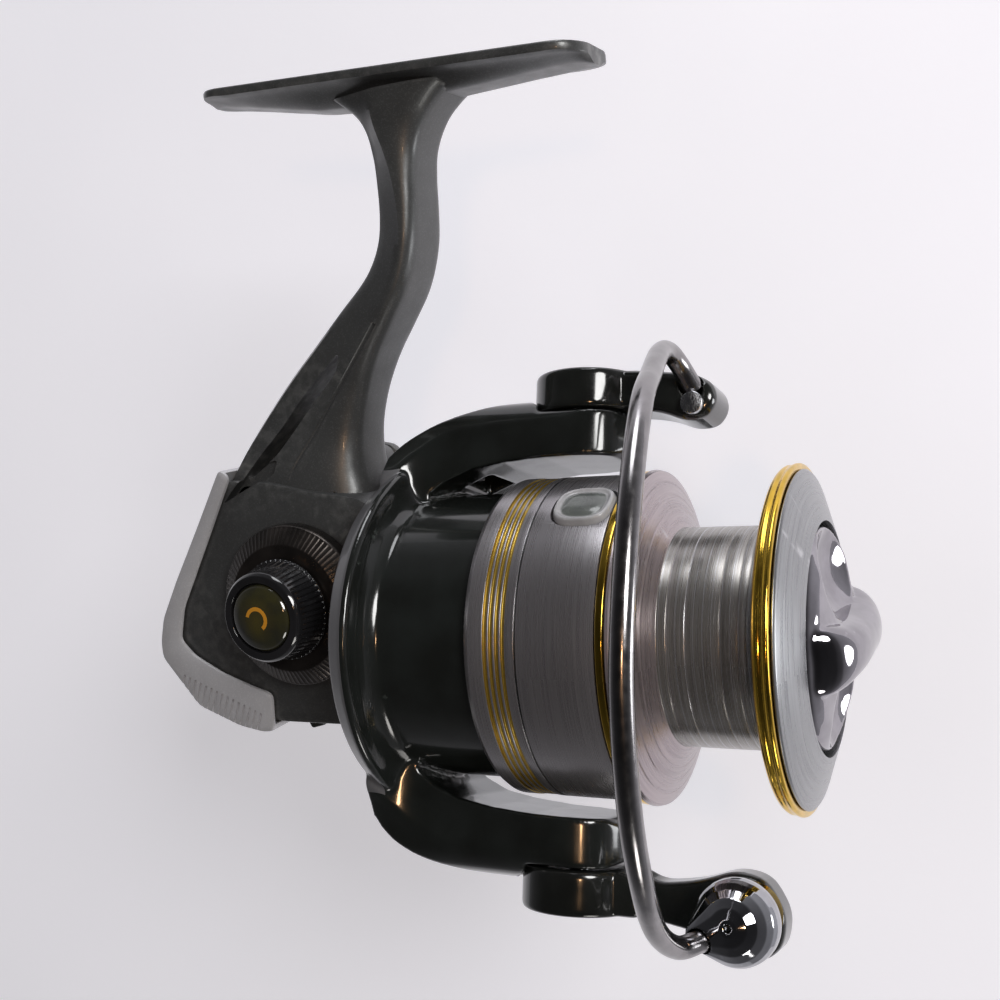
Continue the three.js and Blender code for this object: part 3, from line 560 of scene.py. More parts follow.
def spool_aluminium():
    """Turned aluminium with tool rings; its colour zones follow each other along x."""
    m = Shader("spool_aluminium")
    x, y, z = m.xyz()
    along = m.plus(x, FOOT_X)
    turn = m.times(m.angle(y, 0.0, z, -FOOT_Z), 0.15)
    place = m.node("CombineXYZ", m.times(x, 1.0), turn).outputs[0]
    rings = m.noise(size=0.13, detail=4, place=place)
    m.bump(rings, depth=0.0025)

    def turned(a, b):
        return m.mottled(rings, a, b, 0.3, 0.7)

    def wave(value, pitch):
        return m.math("SINE", m.times(value, 2*pi/pitch))

    skirt = turned((0.36, 0.345, 0.36), (0.43, 0.415, 0.43))
    grooves = wave(m.math("SUBTRACT", along, GROOVES_X), GROOVE_PITCH)
    gold = m.times(m.within(along, GROOVES_X, 39.2), m.above(grooves, -0.1))
    skirt = m.mix(gold, skirt, (0.55, 0.38, 0.07))
    skirt = m.mix(m.within(along, 40.2, 40.45), skirt, (0.06, 0.06, 0.06))
    flange = turned((0.36, 0.31, 0.325), (0.52, 0.455, 0.47))
    arbor = turned((0.30, 0.285, 0.27), (0.38, 0.365, 0.345))
    lines = m.math("MAXIMUM", m.above(wave(along, pitch=1.12), 0.965),
                   m.above(wave(along, pitch=0.71), 0.985))
    arbor = m.mix(lines, arbor, (0.50, 0.50, 0.52))
    cone = turned((0.26, 0.265, 0.275), (0.36, 0.365, 0.375))
    color = skirt
    for start, zone in ((52.2, flange), (56.0, arbor), (68.6, cone)):
        color = m.mix(m.above(along, start), color, zone)
    m.set(Base_Color=m.worn(color, (0.75, 0.75, 0.77), amount=0.5, low=0.55, high=0.62),
          Roughness=m.span(rings, 0.3, 0.7, to_low=0.24, to_high=0.33), Metallic=0.85)


paint("body_paint", (0.072, 0.074, 0.074), metallic=0.50, rough=0.36, flake=0.14, coat=0.12)
paint("handle_metal", (0.105, 0.107, 0.106), metallic=0.6, rough=0.32, flake=0.10, coat=0.15)
paint("satin_silver", (0.50, 0.50, 0.52), metallic=0.35, rough=0.36, flake=0.12, coat=0.15,
      wear=(0.6, 0.6, 0.6))
plastic("black_plastic", (0.028, 0.03, 0.03), rough=0.42, swing=0.08, grain=0.25, depth=0.012)
plastic("gloss_black_plastic", (0.010, 0.010, 0.011), rough=0.10, swing=0.04, grain=0.6,
        depth=0.003, coat=0.6)
plastic("slider_plastic", (0.62, 0.60, 0.55), rough=0.45)
plastic("grip_rubber", (0.022, 0.022, 0.023), rough=0.66, swing=0.1, grain=0.35, depth=0.03)
metal("steel", (0.58, 0.59, 0.61), rough=0.25, swing=0.08, stretch=(6, 1, 1))
metal("brass", (0.68, 0.50, 0.22), rough=0.28, swing=0.08)
metal("gold_roller", (0.75, 0.55, 0.22), rough=0.12, swing=0.05)
metal("chrome", (0.44, 0.445, 0.47), rough=0.05, swing=0.025, depth=0.0015, grain=1.2)
metal("bright_plating", (0.36, 0.345, 0.37), rough=0.05, swing=0.025, depth=0.002, grain=1.2)
metal("wire_metal", (0.30, 0.288, 0.292), rough=0.20, swing=0.05, depth=0.003, grain=0.5)
plastic("felt", (0.12, 0.09, 0.06), rough=0.9, swing=0.05, grain=0.12, depth=0.08)
metal("gold_anodised", (0.74, 0.47, 0.06), rough=0.15, swing=0.05, stretch=(4, 1, 1),
      depth=0.003, grain=0.5, wear=(0.95, 0.75, 0.3))
rotor_gloss()
plastic("gloss_black_paint", (0.010, 0.011, 0.010), rough=0.15, swing=0.05, depth=0.0015,
        coat=0.5)
collar_dark()
amber_lens()
grey_plastic()
spool_aluminium()

# ---------------------------------------------------------------- placing a piece
SLOTS = {s["node"]: s["material_slot"] for s in frame["record"]["subparts"]}
BODY = {n: b for b, nodes in frame["record"]["behaviour"]["bodies"].items() for n in nodes}


def piece(obj, node, matrix=REEL, sharp=38, material=None):
    """Hand obj in for a node; edges bent by more than sharp degrees stay crisp."""
    obj.data.transform(matrix)
    bm = bmesh.new()
    bm.from_mesh(obj.data)
    for face in bm.faces:
        face.smooth = True
    for e in bm.edges:
        e.smooth = len(e.link_faces) == 2 and e.calc_face_angle(0) < radians(sharp)
    bm.to_mesh(obj.data)
    bm.free()
    obj.name = node + "_fine"
    obj.data.name = obj.name
    obj.data.materials.clear()
    obj.data.materials.append(MATERIALS[material or SLOTS[node]])
    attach(obj, BODY[node])
    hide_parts(node)


# ---------------------------------------------------------------- body: foot, stem and case
FOOT_REAR, FOOT_LENGTH, FOOT_HALF = -9.8, 59.6, 7.3
FOOT_TILT = tan(radians(3.8))
# closer stations at each tip, as parts of the length
FOOT_TIP_STEPS = [0, 0.004, 0.010, 0.019]


def foot_top(x):
    return FOOT_Z - FOOT_TILT*(x - FOOT_X)


# x, z along the underside
FOOT_UNDER = [
    (FOOT_REAR, foot_top(FOOT_REAR) - 1.7), (-6.5, 79.2), (4.1, 77.0), (9.2, 76.0),
    (23.4, 75.0), (33, 75.1), (41.9, 75.35), (47.0, 75.4), (49.8, 75.1)]
# rear x, z; front x, z; side ridge x, z; half width at the rear; half width at the ridge
STEM = [
    ((12.0, 76.6), (31.5, 76.6), (20.0, 77.0), 4.6, 6.4),
    ((14.9, 74.0), (28.2, 74.4), (19.0, 75.0), 4.0, 6.0),
    ((16.1, 71.6), (26.0, 72.2), (19.0, 72.8), 3.5, 5.5),
    ((16.6, 68.2), (24.2, 68.8), (19.8, 69.4), 3.1, 5.1),
    ((16.7, 64.8), (23.5, 65.0), (20.6, 65.4), 3.0, 5.0),
    ((16.6, 60.6), (23.2, 60.8), (21.0, 61.2), 3.0, 5.0),
    ((16.0, 57.0), (22.7, 56.6), (20.9, 56.9), 3.0, 5.1),
    ((14.6, 53.9), (21.6, 52.6), (19.9, 52.9), 3.1, 5.1),
    ((12.6, 51.3), (20.0, 49.2), (18.4, 49.6), 3.3, 5.2),
    ((9.0, 47.9), (17.4, 45.4), (15.8, 45.9), 3.7, 5.2),
    ((4.4, 43.4), (14.4, 41.0), (12.3, 41.5), 4.2, 5.2),
    ((-0.8, 38.4), (12.0, 36.0), (8.4, 36.7), 4.6, 5.2),
    ((-6.2, 32.4), (10.4, 30.6), (4.4, 31.3), 5.3, 5.8),
    ((-10.2, 26.9), (10.2, 25.4), (0.9, 26.4), 6.6, 7.1),
    ((-14.4, 19.8), (11.4, 19.4), (-1.6, 20.0), 7.9, 8.05),
    ((-15.2, 16.0), (12.0, 14.4), (-2.4, 15.0), 7.9, 8.1)]
# x, z outlines of the case, seen from the side
CASE = [
    (-10.4, 26.6), (-15.2, 18.7), (-20.6, 10.6), (-23.7, 5.2), (-24.9, 0.4), (-24.9, -1.9),
    (-19.9, -8.4), (-13.0, -11.2), (-8.9, -12.0), (-6.0, -12.2), (6, -12.2), (13.3, -15.0),
    (13.3, 20.5), (9.5, 24.5), (8.6, 27.4), (-2, 29.5)]
SHOULDER = [(-11.4, 24.9)] + CASE[1:13] + [(11.4, 21.6), (4.0, 22.6), (-4.0, 24.4)]
CAVITY = [
    (-12.2, 20.2), (-18.2, 10.6), (-21.4, 4.9), (-22.6, 0.2), (-22.6, -1.2), (-18.9, -6.5),
    (-12.4, -9.4), (6, -10.4), (12, -11.6), (12.6, -11.6), (12.6, 16.8), (12.2, 17.5),
    (6, 23.2), (-6, 23.4)]
STEM_OPENING = [
    (9.1, 42.2), (8.6, 39.5), (2.6, 33.7), (-2.6, 27.9), (-7.4, 25.0), (-8.5, 24.9),
    (-5.1, 28.6), (-2.0, 31.7), (2.0, 36.0), (5.4, 39.1)]
SHOULDER_RECESS = [
    (-2.3, 27.4), (-3.0, 25.3), (-7.6, 23.4), (-12.0, 21.4), (-8.5, 24.9), (-7.0, 26.6)]
# x, y, z of the groove down the -y side of the stem
STEM_GROOVE = [
    (15.6, -5.3, 45.6), (12.3, -5.35, 41.5), (8.4, -5.4, 36.7), (4.4, -6.0, 31.3),
    (0.9, -7.3, 26.4), (-0.3, -8.0, 23.6)]
# x, z and the y where the boss starts
COVER_SCREWS = [(-15.5, -7.3, 2.7), (7.5, -9.6, -7), (-8.6, 21.6, -7)]
REAR_SCREW = (-22.0, 0, -4.4)
BORE, BORE_SEAT = 5.6, 7.25             # radii of the stepped bores on the drive axis
REAR_OUTER = [
    (-11.6, 26.8), (-16.9, 18.4), (-22.6, 9.6), (-25.9, 4.0), (-27.0, 0.2), (-27.0, -2.4),
    (-21.0, -10.0), (-13.6, -12.9), (-9.2, -13.7), (-7.2, -13.4), (-6.8, -7.6),
    (-10.4, -6.5), (-15.6, -4.6), (-20.7, -1.9), (-23.0, 0.6), (-21.6, 5.6),
    (-15.0, 16.6), (-9.8, 25.4)]
REAR_INNER = [
    (-10.0, 27.2), (-15.4, 18.9), (-20.9, 10.8), (-24.05, 5.3), (-25.25, 0.5),
    (-25.25, -2.05), (-20.1, -8.7), (-13.1, -11.55), (-8.9, -12.35), (-4, -12.5),
    (8, -12.5), (8, 27.6)]


def foot_half_width(x):
    # distance into the tip; tip length, base and end half width, roundness
    for past, length, base, end, power in ((-4.6 - x, 5.2, 2.6, 2.9, 2.2),
                                           (x - 45.4, 4.4, 3.0, 3.3, 2.4)):
        if past > length - 0.01:
            return end
        if past > 0:
            return base + (FOOT_HALF - base)*(1 - (past/length)**power)**0.6
    return FOOT_HALF


def foot():
    stations = [i/120 for i in range(121)]
    stations[:4] = FOOT_TIP_STEPS
    stations[-4:] = [1 - u for u in reversed(FOOT_TIP_STEPS)]
    sections = []
    for u in stations:
        x = FOOT_REAR + FOOT_LENGTH*u
        w, top, under = foot_half_width(x), foot_top(x), curve(FOOT_UNDER, x)
        edge = min(1.0, 0.45*(top - under))
        half = [(0, top), (w-0.5, top), (w-0.2, top-0.08), (w-0.05, top-0.24),
                (w, top-0.45), (w, top-edge), (w-0.08, top-edge-0.25)]
        for k in range(1, 13):
            q = k/12
            ease = q*q*(3 - 2*q)
            half.append(((w-0.25)*(1-q) + 0.28*w*q, (top-edge-0.4)*(1-ease) + under*ease))
        half.append((0, under))
        sections.append(mirrored([(x, y, z) for y, z in half]))
    return loft(sections)


def stem():
    """Narrow rear web, a ridge on each side and a full rounded front rib."""
    front = 2.4                         # half width where the rib closes
    sections = []
    for (rx, rz), (fx, fz), (gx, gz), web, wide in STEM:
        depth = hypot(fx - rx, fz - rz)
        dx, dz = (fx - rx)/depth, (fz - rz)/depth
        ridge = (gx - rx)*dx + (gz - rz)*dz
        # distance from the rear, half width
        half = [(0.0, 0.0), (0.05, web*0.55), (0.35, web*0.88), (0.9, web)]
        half += [(0.9 + (ridge-0.9)*k/4, web + (wide-web)*k/4) for k in range(1, 5)]
        for k in range(1, 11):
            a = k/10*pi/2
            half.append((ridge + (depth-ridge)*sin(a)**0.92, front + (wide-front)*cos(a)**0.8))
        half.append((depth + 0.02, 0.0))
        sections.append(mirrored([(rx + dx*q, y, rz + dz*q) for q, y in half]))
    rails = [spline(points, 150) for points in zip(*sections)]
    return loft(list(zip(*rails)))


def body_housing():
    case = union(plate(SHOULDER, 1.4, -8.2, 8.4, bevel=0.7),
                 plate(CASE, 1.4, 2.0, 8.4, bevel=0.7))
    nose = common(disc(17.3, 12.3, 20.0, 144, fillet=0.5), box(0, 40, -25, 8.4, -25, 25))
    body = union(
        case, stem(), foot(), nose, disc(9.6, 19, 28.0, 128, fillet=0.3),
        disc(10.4, -9.7, -7.5, 128, "y", DRIVE, 0.4),
        plate([(19.3, 75.8), (21.6, 75.8), (20.5, 69.6)], 0.3, -6.1, -4.6, bevel=0.25))
    body = cut(
        body, prism(CAVITY, -6.7, 12), disc(11.4, 12.3, 18.6), disc(8.7, 17, 25.6),
        disc(8.25, 25, 30), disc(BORE_SEAT, -9.0, -6, 96, "y", DRIVE),
        disc(BORE, -12, -6, 96, "y", DRIVE), plate(STEM_OPENING, 1.2, -12, 12),
        plate(SHOULDER_RECESS, 0.6, -12, -6.2), tube(STEM_GROOVE, 0.42, 60, 12))
    bosses = [ring(1.3, 2.1, y, 8.3, 32, "y", (x, 0, z)) for x, z, y in COVER_SCREWS]
    body = union(body, *bosses, disc(2.6, -7.2, -6.55, 48, "y", (-10.5, 0, 0)))
    piece(body, "body_housing", sharp=32)


def side_cover():
    cover = union(plate(CASE, 1.4, 8.7, 10.6, bevel=0.6),
                  disc(9.4, 9.2, 13.4, 128, "y", DRIVE, 0.6))
    holes = [disc(1.35, 7, 12, 32, "y", (x, 0, z)) for x, z, _ in COVER_SCREWS]
    cover = cut(cover, disc(BORE_SEAT, 7, 12.6, 96, "y", DRIVE),
                disc(BORE, 7, 15, 96, "y", DRIVE), *holes)
    piece(cover, "side_cover", sharp=32)


def rear_cover():
    """Shell round the rear of the case, with 15 slanted grooves low on the -y face."""
    rear = cut(plate(REAR_OUTER, 1.0, -9.0, 11.4, bevel=0.45), prism(REAR_INNER, -8.5, 10.9))
    for i in range(15):
        groove = plate([(-0.2, -1.9), (0.2, -1.9), (0.2, 1.9), (-0.2, 1.9)], 0.15, -9.6, -8.68)
        place = Matrix.Translation((-23.6 + i*0.98, 0, -6.8 - i*0.40))
        rear = cut(rear, placed(groove, place @ Matrix.Rotation(radians(22), 4, "Y")))
    x, z, _ = COVER_SCREWS[0]
    rear = cut(rear, disc(1.0, 10.5, 12.0, 32, "y", REAR_SCREW),
               disc(2.7, 10.5, 12.0, 48, "y", (x, 0, z)))
    piece(rear, "rear_cover", sharp=32)


def screw(name, profile, at, slot):
    piece(cut(lathe(profile, 48, "y", at, 0.08), slot), name)


def case_screws():
    profile = [(0, 3.4), (1.0, 3.4), (1.0, 10.9), (2.1, 10.9), (2.1, 11.5), (1.5, 12.0),
               (0, 12.0)]
    for i, (x, z, _) in enumerate(COVER_SCREWS):
        screw("cover_screw_%d" % (i+1), profile, (x, 0, z),
              box(x-2.5, x+2.5, 11.5, 13, z-0.3, z+0.3))
    profile = [(0, 10.8), (0.75, 10.8), (0.75, 11.5), (1.5, 11.5), (1.5, 11.9), (0.9, 12.4),
               (0, 12.4)]
    screw("rear_cover_screw", profile, REAR_SCREW, box(-23, -21, 12.05, 13, -4.55, -4.25))


def anti_reverse_lever():
    outline = [(-3.2, -12.9), (-3.0, -14.6), (-5.6, -15.3), (-6.4, -13.6), (-5.0, -12.8)]
    lever = joined(disc(3.0, -13.6, -12.7, 64, "z", (-2.2, 0, 0), 0.2),
                   plate(outline, 0.4, -1.6, 1.6, bevel=0.25))
    piece(remesh(lever, 0.12, 4), "anti_reverse_lever")


def drive_cap():
    """Knurled collar, fluted cap and domed lens on the -y side."""
    def knurl(r, h, a):
        if 9.0 < r < 11.7 and h < -10.2:
            return r*(1 + 0.011*max(0, cos(a*90))) - 0.13
        return r

    def flutes(r, h, a):
        return r - 0.22*max(0, cos(a*54))**0.7 if -17.2 < h < -12.9 and r > 6.2 else r

    collar = [(6.1, -12.3), (9.4, -12.3), (11.7, -10.75), (11.9, -10.4), (11.9, -8.5),
              (10.8, -8.5), (10.8, -10.0), (6.1, -10.0)]
    piece(lathe(collar, 720, "y", DRIVE, 0.15, knurl), "collar_ring", sharp=60)
    cap = [(2.45, -12.6), (7.35, -12.6), (7.4, -12.85), (7.2, -13.3), (7.0, -14.2),
           (6.8, -15.5), (6.55, -17.0), (6.5, -17.3), (6.42, -17.8), (6.0, -18.3),
           (5.0, -18.3), (5.0, -17.5), (0.02, -17.5), (0.02, -16.0), (2.45, -16.0)]
    piece(lathe(cap, 648, "y", DRIVE, 0.12, flutes), "handle_cap", sharp=60)
    lens = [(0, -17.75), (4.8, -17.75), (4.72, -18.05), (4.4, -18.42), (3.4, -18.82),
            (1.8, -19.12), (0, -19.2)]
    piece(lathe(lens, 128, "y", DRIVE, 0.3), "cap_lens", sharp=50)


body_housing()
side_cover()
rear_cover()
case_screws()
anti_reverse_lever()
drive_cap()

# ---------------------------------------------------------------- handle
HINGE = (0, 27, 0)
KNOB = (48, 0, 0)
# x, y
ARM_LINE = [
    (-3.0, 27.6), (-2.2, 25.2), (0, 24.2), (2.6, 24.9), (18, 34.2), (34, 45.4), (40, 48.6),
    (52.4, 49.4), (53.4, 51.2), (52.0, 53.0), (41, 53.0), (33, 50.4), (15, 38.4),
    (1.5, 30.4), (-1.6, 29.8)]
# radius, y
KNOB_PROFILE = [
    (1.75, 53.4), (4.6, 53.4), (5.2, 54.6), (5.4, 58.0), (6.6, 61.5), (8.4, 65.5),
    (9.0, 69.5), (8.6, 73.5), (7.2, 76.2), (5.4, 76.2), (5.4, 74.8), (1.75, 74.8)]


def handle_shank():
    """Round shank ending in a squared fork for the arm."""
    base = [(0, 14.2), (4.6, 14.2), (5.2, 15.0), (5.2, 20.0), (4.6, 22.0), (0, 22.0)]
    fork = common(box(-4.2, 4.2, 21.5, 31.0, -4.2, 4.2), disc(5.4, 21, 31.0, 96, "y"))
    shank = remesh(joined(lathe(base, 96, "y", fillet=0.5), fork), 0.2, 0)
    shank = cut(shank, box(-6, 6, 23.2, 33, -2.3, 2.3), disc(1.3, -7, 7, 48, "z", HINGE))
    piece(remesh(shank, 0.18, 4), "handle_shank", HANDLE)
    piece(disc(1.0, -4.0, 4.0, 48, "z", HINGE, 0.2), "handle_hinge_pin", HANDLE)


def handle_arm():
    arm = joined(plate(ARM_LINE, 6, -2.0, 2.0, "z", bevel=0.8),
                 disc(5.4, 49.6, 53.0, 96, "y", KNOB, 0.7))
    arm = cut(remesh(arm, 0.25, 0), disc(1.35, -5, 5, 48, "z", HINGE),
              disc(1.8, 40, 60, 48, "y", KNOB))
    piece(remesh(arm, 0.2, 5), "handle_arm", HANDLE)


def handle_knob():
    axle = [(0, 47.9), (3.0, 47.9), (3.0, 48.7), (1.5, 48.7), (1.5, 74.4), (0, 74.4)]
    piece(lathe(axle, 64, "y", KNOB), "knob_axle", HANDLE)
    knob = cut(lathe(KNOB_PROFILE, 128, "y", KNOB, 1.2),
               box(36, 60, 50, 80, 6.6, 12), box(36, 60, 50, 80, -12, -6.6))
    piece(remesh(knob, 0.22, 8), "handle_knob", HANDLE)
    cap = [(0, 75.1), (5.1, 75.1), (5.1, 76.4), (4.4, 76.9), (0, 76.9)]
    piece(lathe(cap, 96, "y", KNOB, 0.25), "knob_end_cap", HANDLE)


handle_shank()
handle_arm()
handle_knob()

# ---------------------------------------------------------------- rotor
PIVOT = (41, 0, 0)                      # bail pivots, on a line along z
# radius, x
RIM = [
    (21.4, 13.8), (23.1, 13.8), (24.6, 16.55), (24.45, 16.75), (24.6, 16.95), (24.2, 17.4),
    (22.6, 17.7), (21.0, 18.5), (20.0, 19.5), (20.0, 33.2), (6.0, 33.2), (6.0, 28.8),
    (18.3, 28.8), (18.3, 19.2)]
# x, height: the arms' inner side from the front back, and outer side for each sign of z
ARM_IN = [
    (36, 30.4), (46.6, 30.4), (48.2, 29.4), (48.2, 25.4), (46.6, 24.1), (37, 23.9),
    (31, 23.4), (26.3, 22.6), (22.5, 21.0), (20.4, 19.2), (20.4, 17.6)]
ARM_OUT = {
    1: [(13.8, 24.4), (15.6, 26.6), (18.0, 28.3), (21.5, 30.0), (26.0, 31.5), (30, 32.4),
        (36, 33.1)],
    -1: [(13.8, 25.4), (14.8, 27.4), (16.8, 29.3), (20.6, 31.2), (26.0, 32.4), (31, 32.9),
         (36, 33.2)]}
# x, y of the -y half, seen along z
ARM_PLAN = [
    (13.8, -12.4), (15.5, -11.8), (17.6, -10.2), (20.5, -8.9), (24, -8.4), (42, -8.0),
    (46, -6.4), (48.2, -2.6)]
ARM_PLAN += [(x, -y) for x, y in reversed(ARM_PLAN)]
# y, height of the -y half and the crest, seen along x
ARM_FRONT = [
    (-13, 19.5), (-11.8, 22.0), (-10.4, 24.2), (-8.8, 27.2), (-7.8, 29.8), (-6.0, 31.9),
    (-3, 32.9), (0, 33.2)]
ARM_FRONT += [(-y, z) for y, z in ARM_FRONT[-2::-1]]


def rotor_arm(s):
    side = [(13.8, 17.2)] + flat_spline(ARM_OUT[s], 40) + ARM_IN
    front = [(-13, 0)] + flat_spline(ARM_FRONT, 60) + [(13, 0)]
    return common(prism([(x, s*z) for x, z in side], -16, 16),
                  plate(ARM_PLAN, 3.0, min(0, s*60), max(0, s*60), "z"),
                  prism([(y, s*z) for y, z in front], 10, 60, "x"))


def rotor():
    hub = ring(3.0, 8, 29.2, 33.0)
    shell = joined(lathe(RIM, 180, fillet=0.25), hub, rotor_arm(1), rotor_arm(-1))
    shell = remesh(shell, 0.28, 0)
    cuts = []
    for r, near in ((8.2, 30.4), (1.7, 26)):
        cuts += [disc(r, a, b, 96 if r > 2 else 48, "z", PIVOT)
                 for a, b in ((near, 40), (-40, -near))]
    cuts += [box(33.2, 41, 4.8, 12, 30.4, 40), box(33.2, 41, 4.8, 12, -40, -30.4),
             box(22.6, 37.5, -2.2, 5.4, 26.2, 29.6), box(22.6, 27.0, -2.2, 5.4, 20.0, 28.6),
             lathe([(0, 13.0), (21.35, 13.0), (21.35, 13.8), (18.25, 19.2), (18.25, 28.75),
                    (0, 28.75)], fillet=0)]
    for a in (45, 135, 225, 315):
        cuts.append(placed(disc(3.1, 27, 35, 48, "x", (0, 13, 0)),
                           Matrix.Rotation(radians(a), 4, "X")))
    piece(remesh(cut(shell, *cuts), 0.25, 6), "rotor", ROTOR, material="rotor_gloss")


def pivot_screws():
    profile = [(0, 27.2), (1.4, 27.2), (1.4, 36.3), (3.2, 36.3), (3.2, 37.0), (2.6, 37.4),
               (0, 37.4)]
    for a, name in ((0, "upper"), (pi, "lower")):
        pivot = cut(lathe(profile, 64, "z"), box(-3.4, 3.4, -0.35, 0.35, 37.0, 39))
        placed(pivot, Matrix.Translation(PIVOT) @ Matrix.Rotation(a, 4, "X"))
        piece(pivot, "bail_pivot_screw_" + name, ROTOR)


def trip_lever():
    lever = joined(box(23.0, 26.4, -1.6, 4.8, 27.0, 28.2),
                   box(23.0, 24.2, -1.6, 1.0, 22.5, 27.4))
    piece(remesh(lever, 0.12, 3), "trip_lever", ROTOR)


rotor()
pivot_screws()
trip_lever()

# ---------------------------------------------------------------- bail
WIRE_SCREW = (57.6, 0, 30.6)
ROLLER = (64.8, 0, -34.4)
WIRE = [
    (57.4, -3.8, 32.9), (56.2, -6.4, 35.6), (55.7, -9.4, 36.6), (56.0, -14.0, 35.2),
    (57.9, -23.0, 30.0), (59.6, -31.0, 24.6), (60.8, -37.2, 14.8), (61.1, -39.9, 3.0),
    (60.9, -39.5, -7.5), (60.7, -36.4, -18.4), (60.2, -30.8, -27.0), (59.2, -22.6, -33.6),
    (59.6, -16.0, -36.6), (61.2, -12.2, -36.4), (62.4, -10.8, -35.8)]
WIRE_ROOM = [(57.6, -3.0, 32.2)] + WIRE[1:]     # path of the sockets cut for the wire
# x, z
LEVER = [
    (41, 30.7), (49.0, 30.7), (53, 30.0), (56.2, 28.6), (59.2, 28.9), (60.6, 31.2),
    (60.0, 33.6), (57.2, 35.2), (48, 36.4), (41, 36.4)]
BAIL_ARM = [
    (41, -30.7), (48.8, -30.7), (52, -32.2), (57.5, -31.4), (62.4, -29.6), (66.4, -30.3),
    (69.0, -34.6), (68.3, -38.8), (65.2, -40.8), (58, -38.0), (49, -36.6), (41, -36.6)]
BAIL_ARM_ROOT = [(41, -30.7), (48.6, -30.7), (51, -31.8), (51, -36.4), (41, -36.6)]
# centre x, z; points round it; angle steps in half a turn; (radius, y) rings
CONE_HULL = [
    (ROLLER[0], ROLLER[2], 97, 48,
     [(0.02, -13.35), (1.0, -13.3), (2.2, -12.95), (3.3, -12.3), (4.2, -11.4), (4.8, -10.5),
      (5.12, -9.6), (5.2, -8.7), (5.15, -7.8), (4.9, -7.1), (4.4, -6.6)]),
    (60.9, -35.9, 24, 12, [(1.0, -12.45), (1.5, -12.1), (1.7, -11.5), (1.7, -10.4)])]


def bail_lever():
    lever = joined(disc(7.7, 30.7, 36.4, 128, "z", PIVOT, 0.8),
                   plate(LEVER, 2.2, -4.4, 4.4, bevel=1.2))
    lever = cut(remesh(lever, 0.2, 4), disc(1.75, 20, 45, 48, "z", PIVOT),
                disc(3.7, 36.0, 45, 64, "z", PIVOT), tube(WIRE_ROOM, 1.6),
                disc(1.0, -8, -1, 32, "y", WIRE_SCREW))
    piece(remesh(lever, 0.17, 3), "bail_lever", ROTOR)
    profile = [(0, -5.6), (1.5, -5.6), (1.5, -4.7), (0.75, -4.7), (0.75, -1.6), (0, -1.6)]
    piece(lathe(profile, 48, "y", WIRE_SCREW), "wire_screw", ROTOR)


def bail_arm():
    arm = joined(disc(7.7, -36.6, -30.7, 128, "z", PIVOT, 0.8),
                 plate(BAIL_ARM, 2.4, -1.0, 4.8, bevel=1.0),
                 plate(BAIL_ARM_ROOT, 1.2, -4.4, 4.6, bevel=1.0))
    arm = cut(remesh(arm, 0.2, 4), disc(1.75, -45, -20, 48, "z", PIVOT),
              disc(3.7, -45, -36.0, 64, "z", PIVOT), disc(1.15, -3, 8, 32, "y", ROLLER))
    piece(remesh(arm, 0.17, 3), "bail_arm", ROTOR)


def bail_cone():
    """Hull of a dome on the roller axis and a small boss where the wire enters."""
    bm = bmesh.new()
    for x, z, count, half_turn, rings in CONE_HULL:
        for i in range(count):
            a = i*pi/half_turn
            for r, y in rings:
                bm.verts.new((x + r*cos(a), y, z + r*sin(a)))
    hull = bmesh.ops.convex_hull(bm, input=bm.verts)
    inside = [v for v in hull["geom_interior"] if isinstance(v, bmesh.types.BMVert)]
    bmesh.ops.delete(bm, geom=inside, context="VERTS")
    cone = cut(from_bmesh(bm), tube(WIRE_ROOM, 1.55),
               disc(1.15, -12.7, 0, 32, "y", ROLLER), disc(0.5, -20, -12, 32, "y", ROLLER))
    piece(remesh(cone, 0.10, 6), "bail_cone", ROTOR)


def line_roller():
    profile = [(1.25, -5.9), (4.1, -5.9), (3.2, -4.9), (3.0, -3.4), (3.2, -2.3), (4.1, -1.4),
               (1.25, -1.4)]
    piece(lathe(profile, 96, "y", ROLLER, 0.4), "line_roller", ROTOR)
    profile = [(0, -11.4), (0.9, -11.4), (0.9, 5.2), (2.1, 5.2), (2.1, 5.9), (1.6, 6.3),
               (0, 6.3)]
    piece(lathe(profile, 48, "y", ROLLER), "roller_screw", ROTOR)


bail_lever()
bail_arm()
bail_cone()
piece(tube(WIRE, 1.35, 260, 32), "bail_wire", ROTOR, sharp=60)
line_roller()

# ---------------------------------------------------------------- spool
CLIP = Matrix.Rotation(CLIP_TURN, 4, "X")
SKIRT_R, ARBOR_R = 21.9, 14.5


def clip_outline(half_width, half_length, n=64):
    points = []
    for i in range(n):
        a = 2*pi*(i + 0.5)/n
        c, s = cos(a), sin(a)
        points.append((CLIP_X + half_length*copysign(abs(c)**0.7, c),
                       half_width*copysign(abs(s)**0.7, s)))
    return points


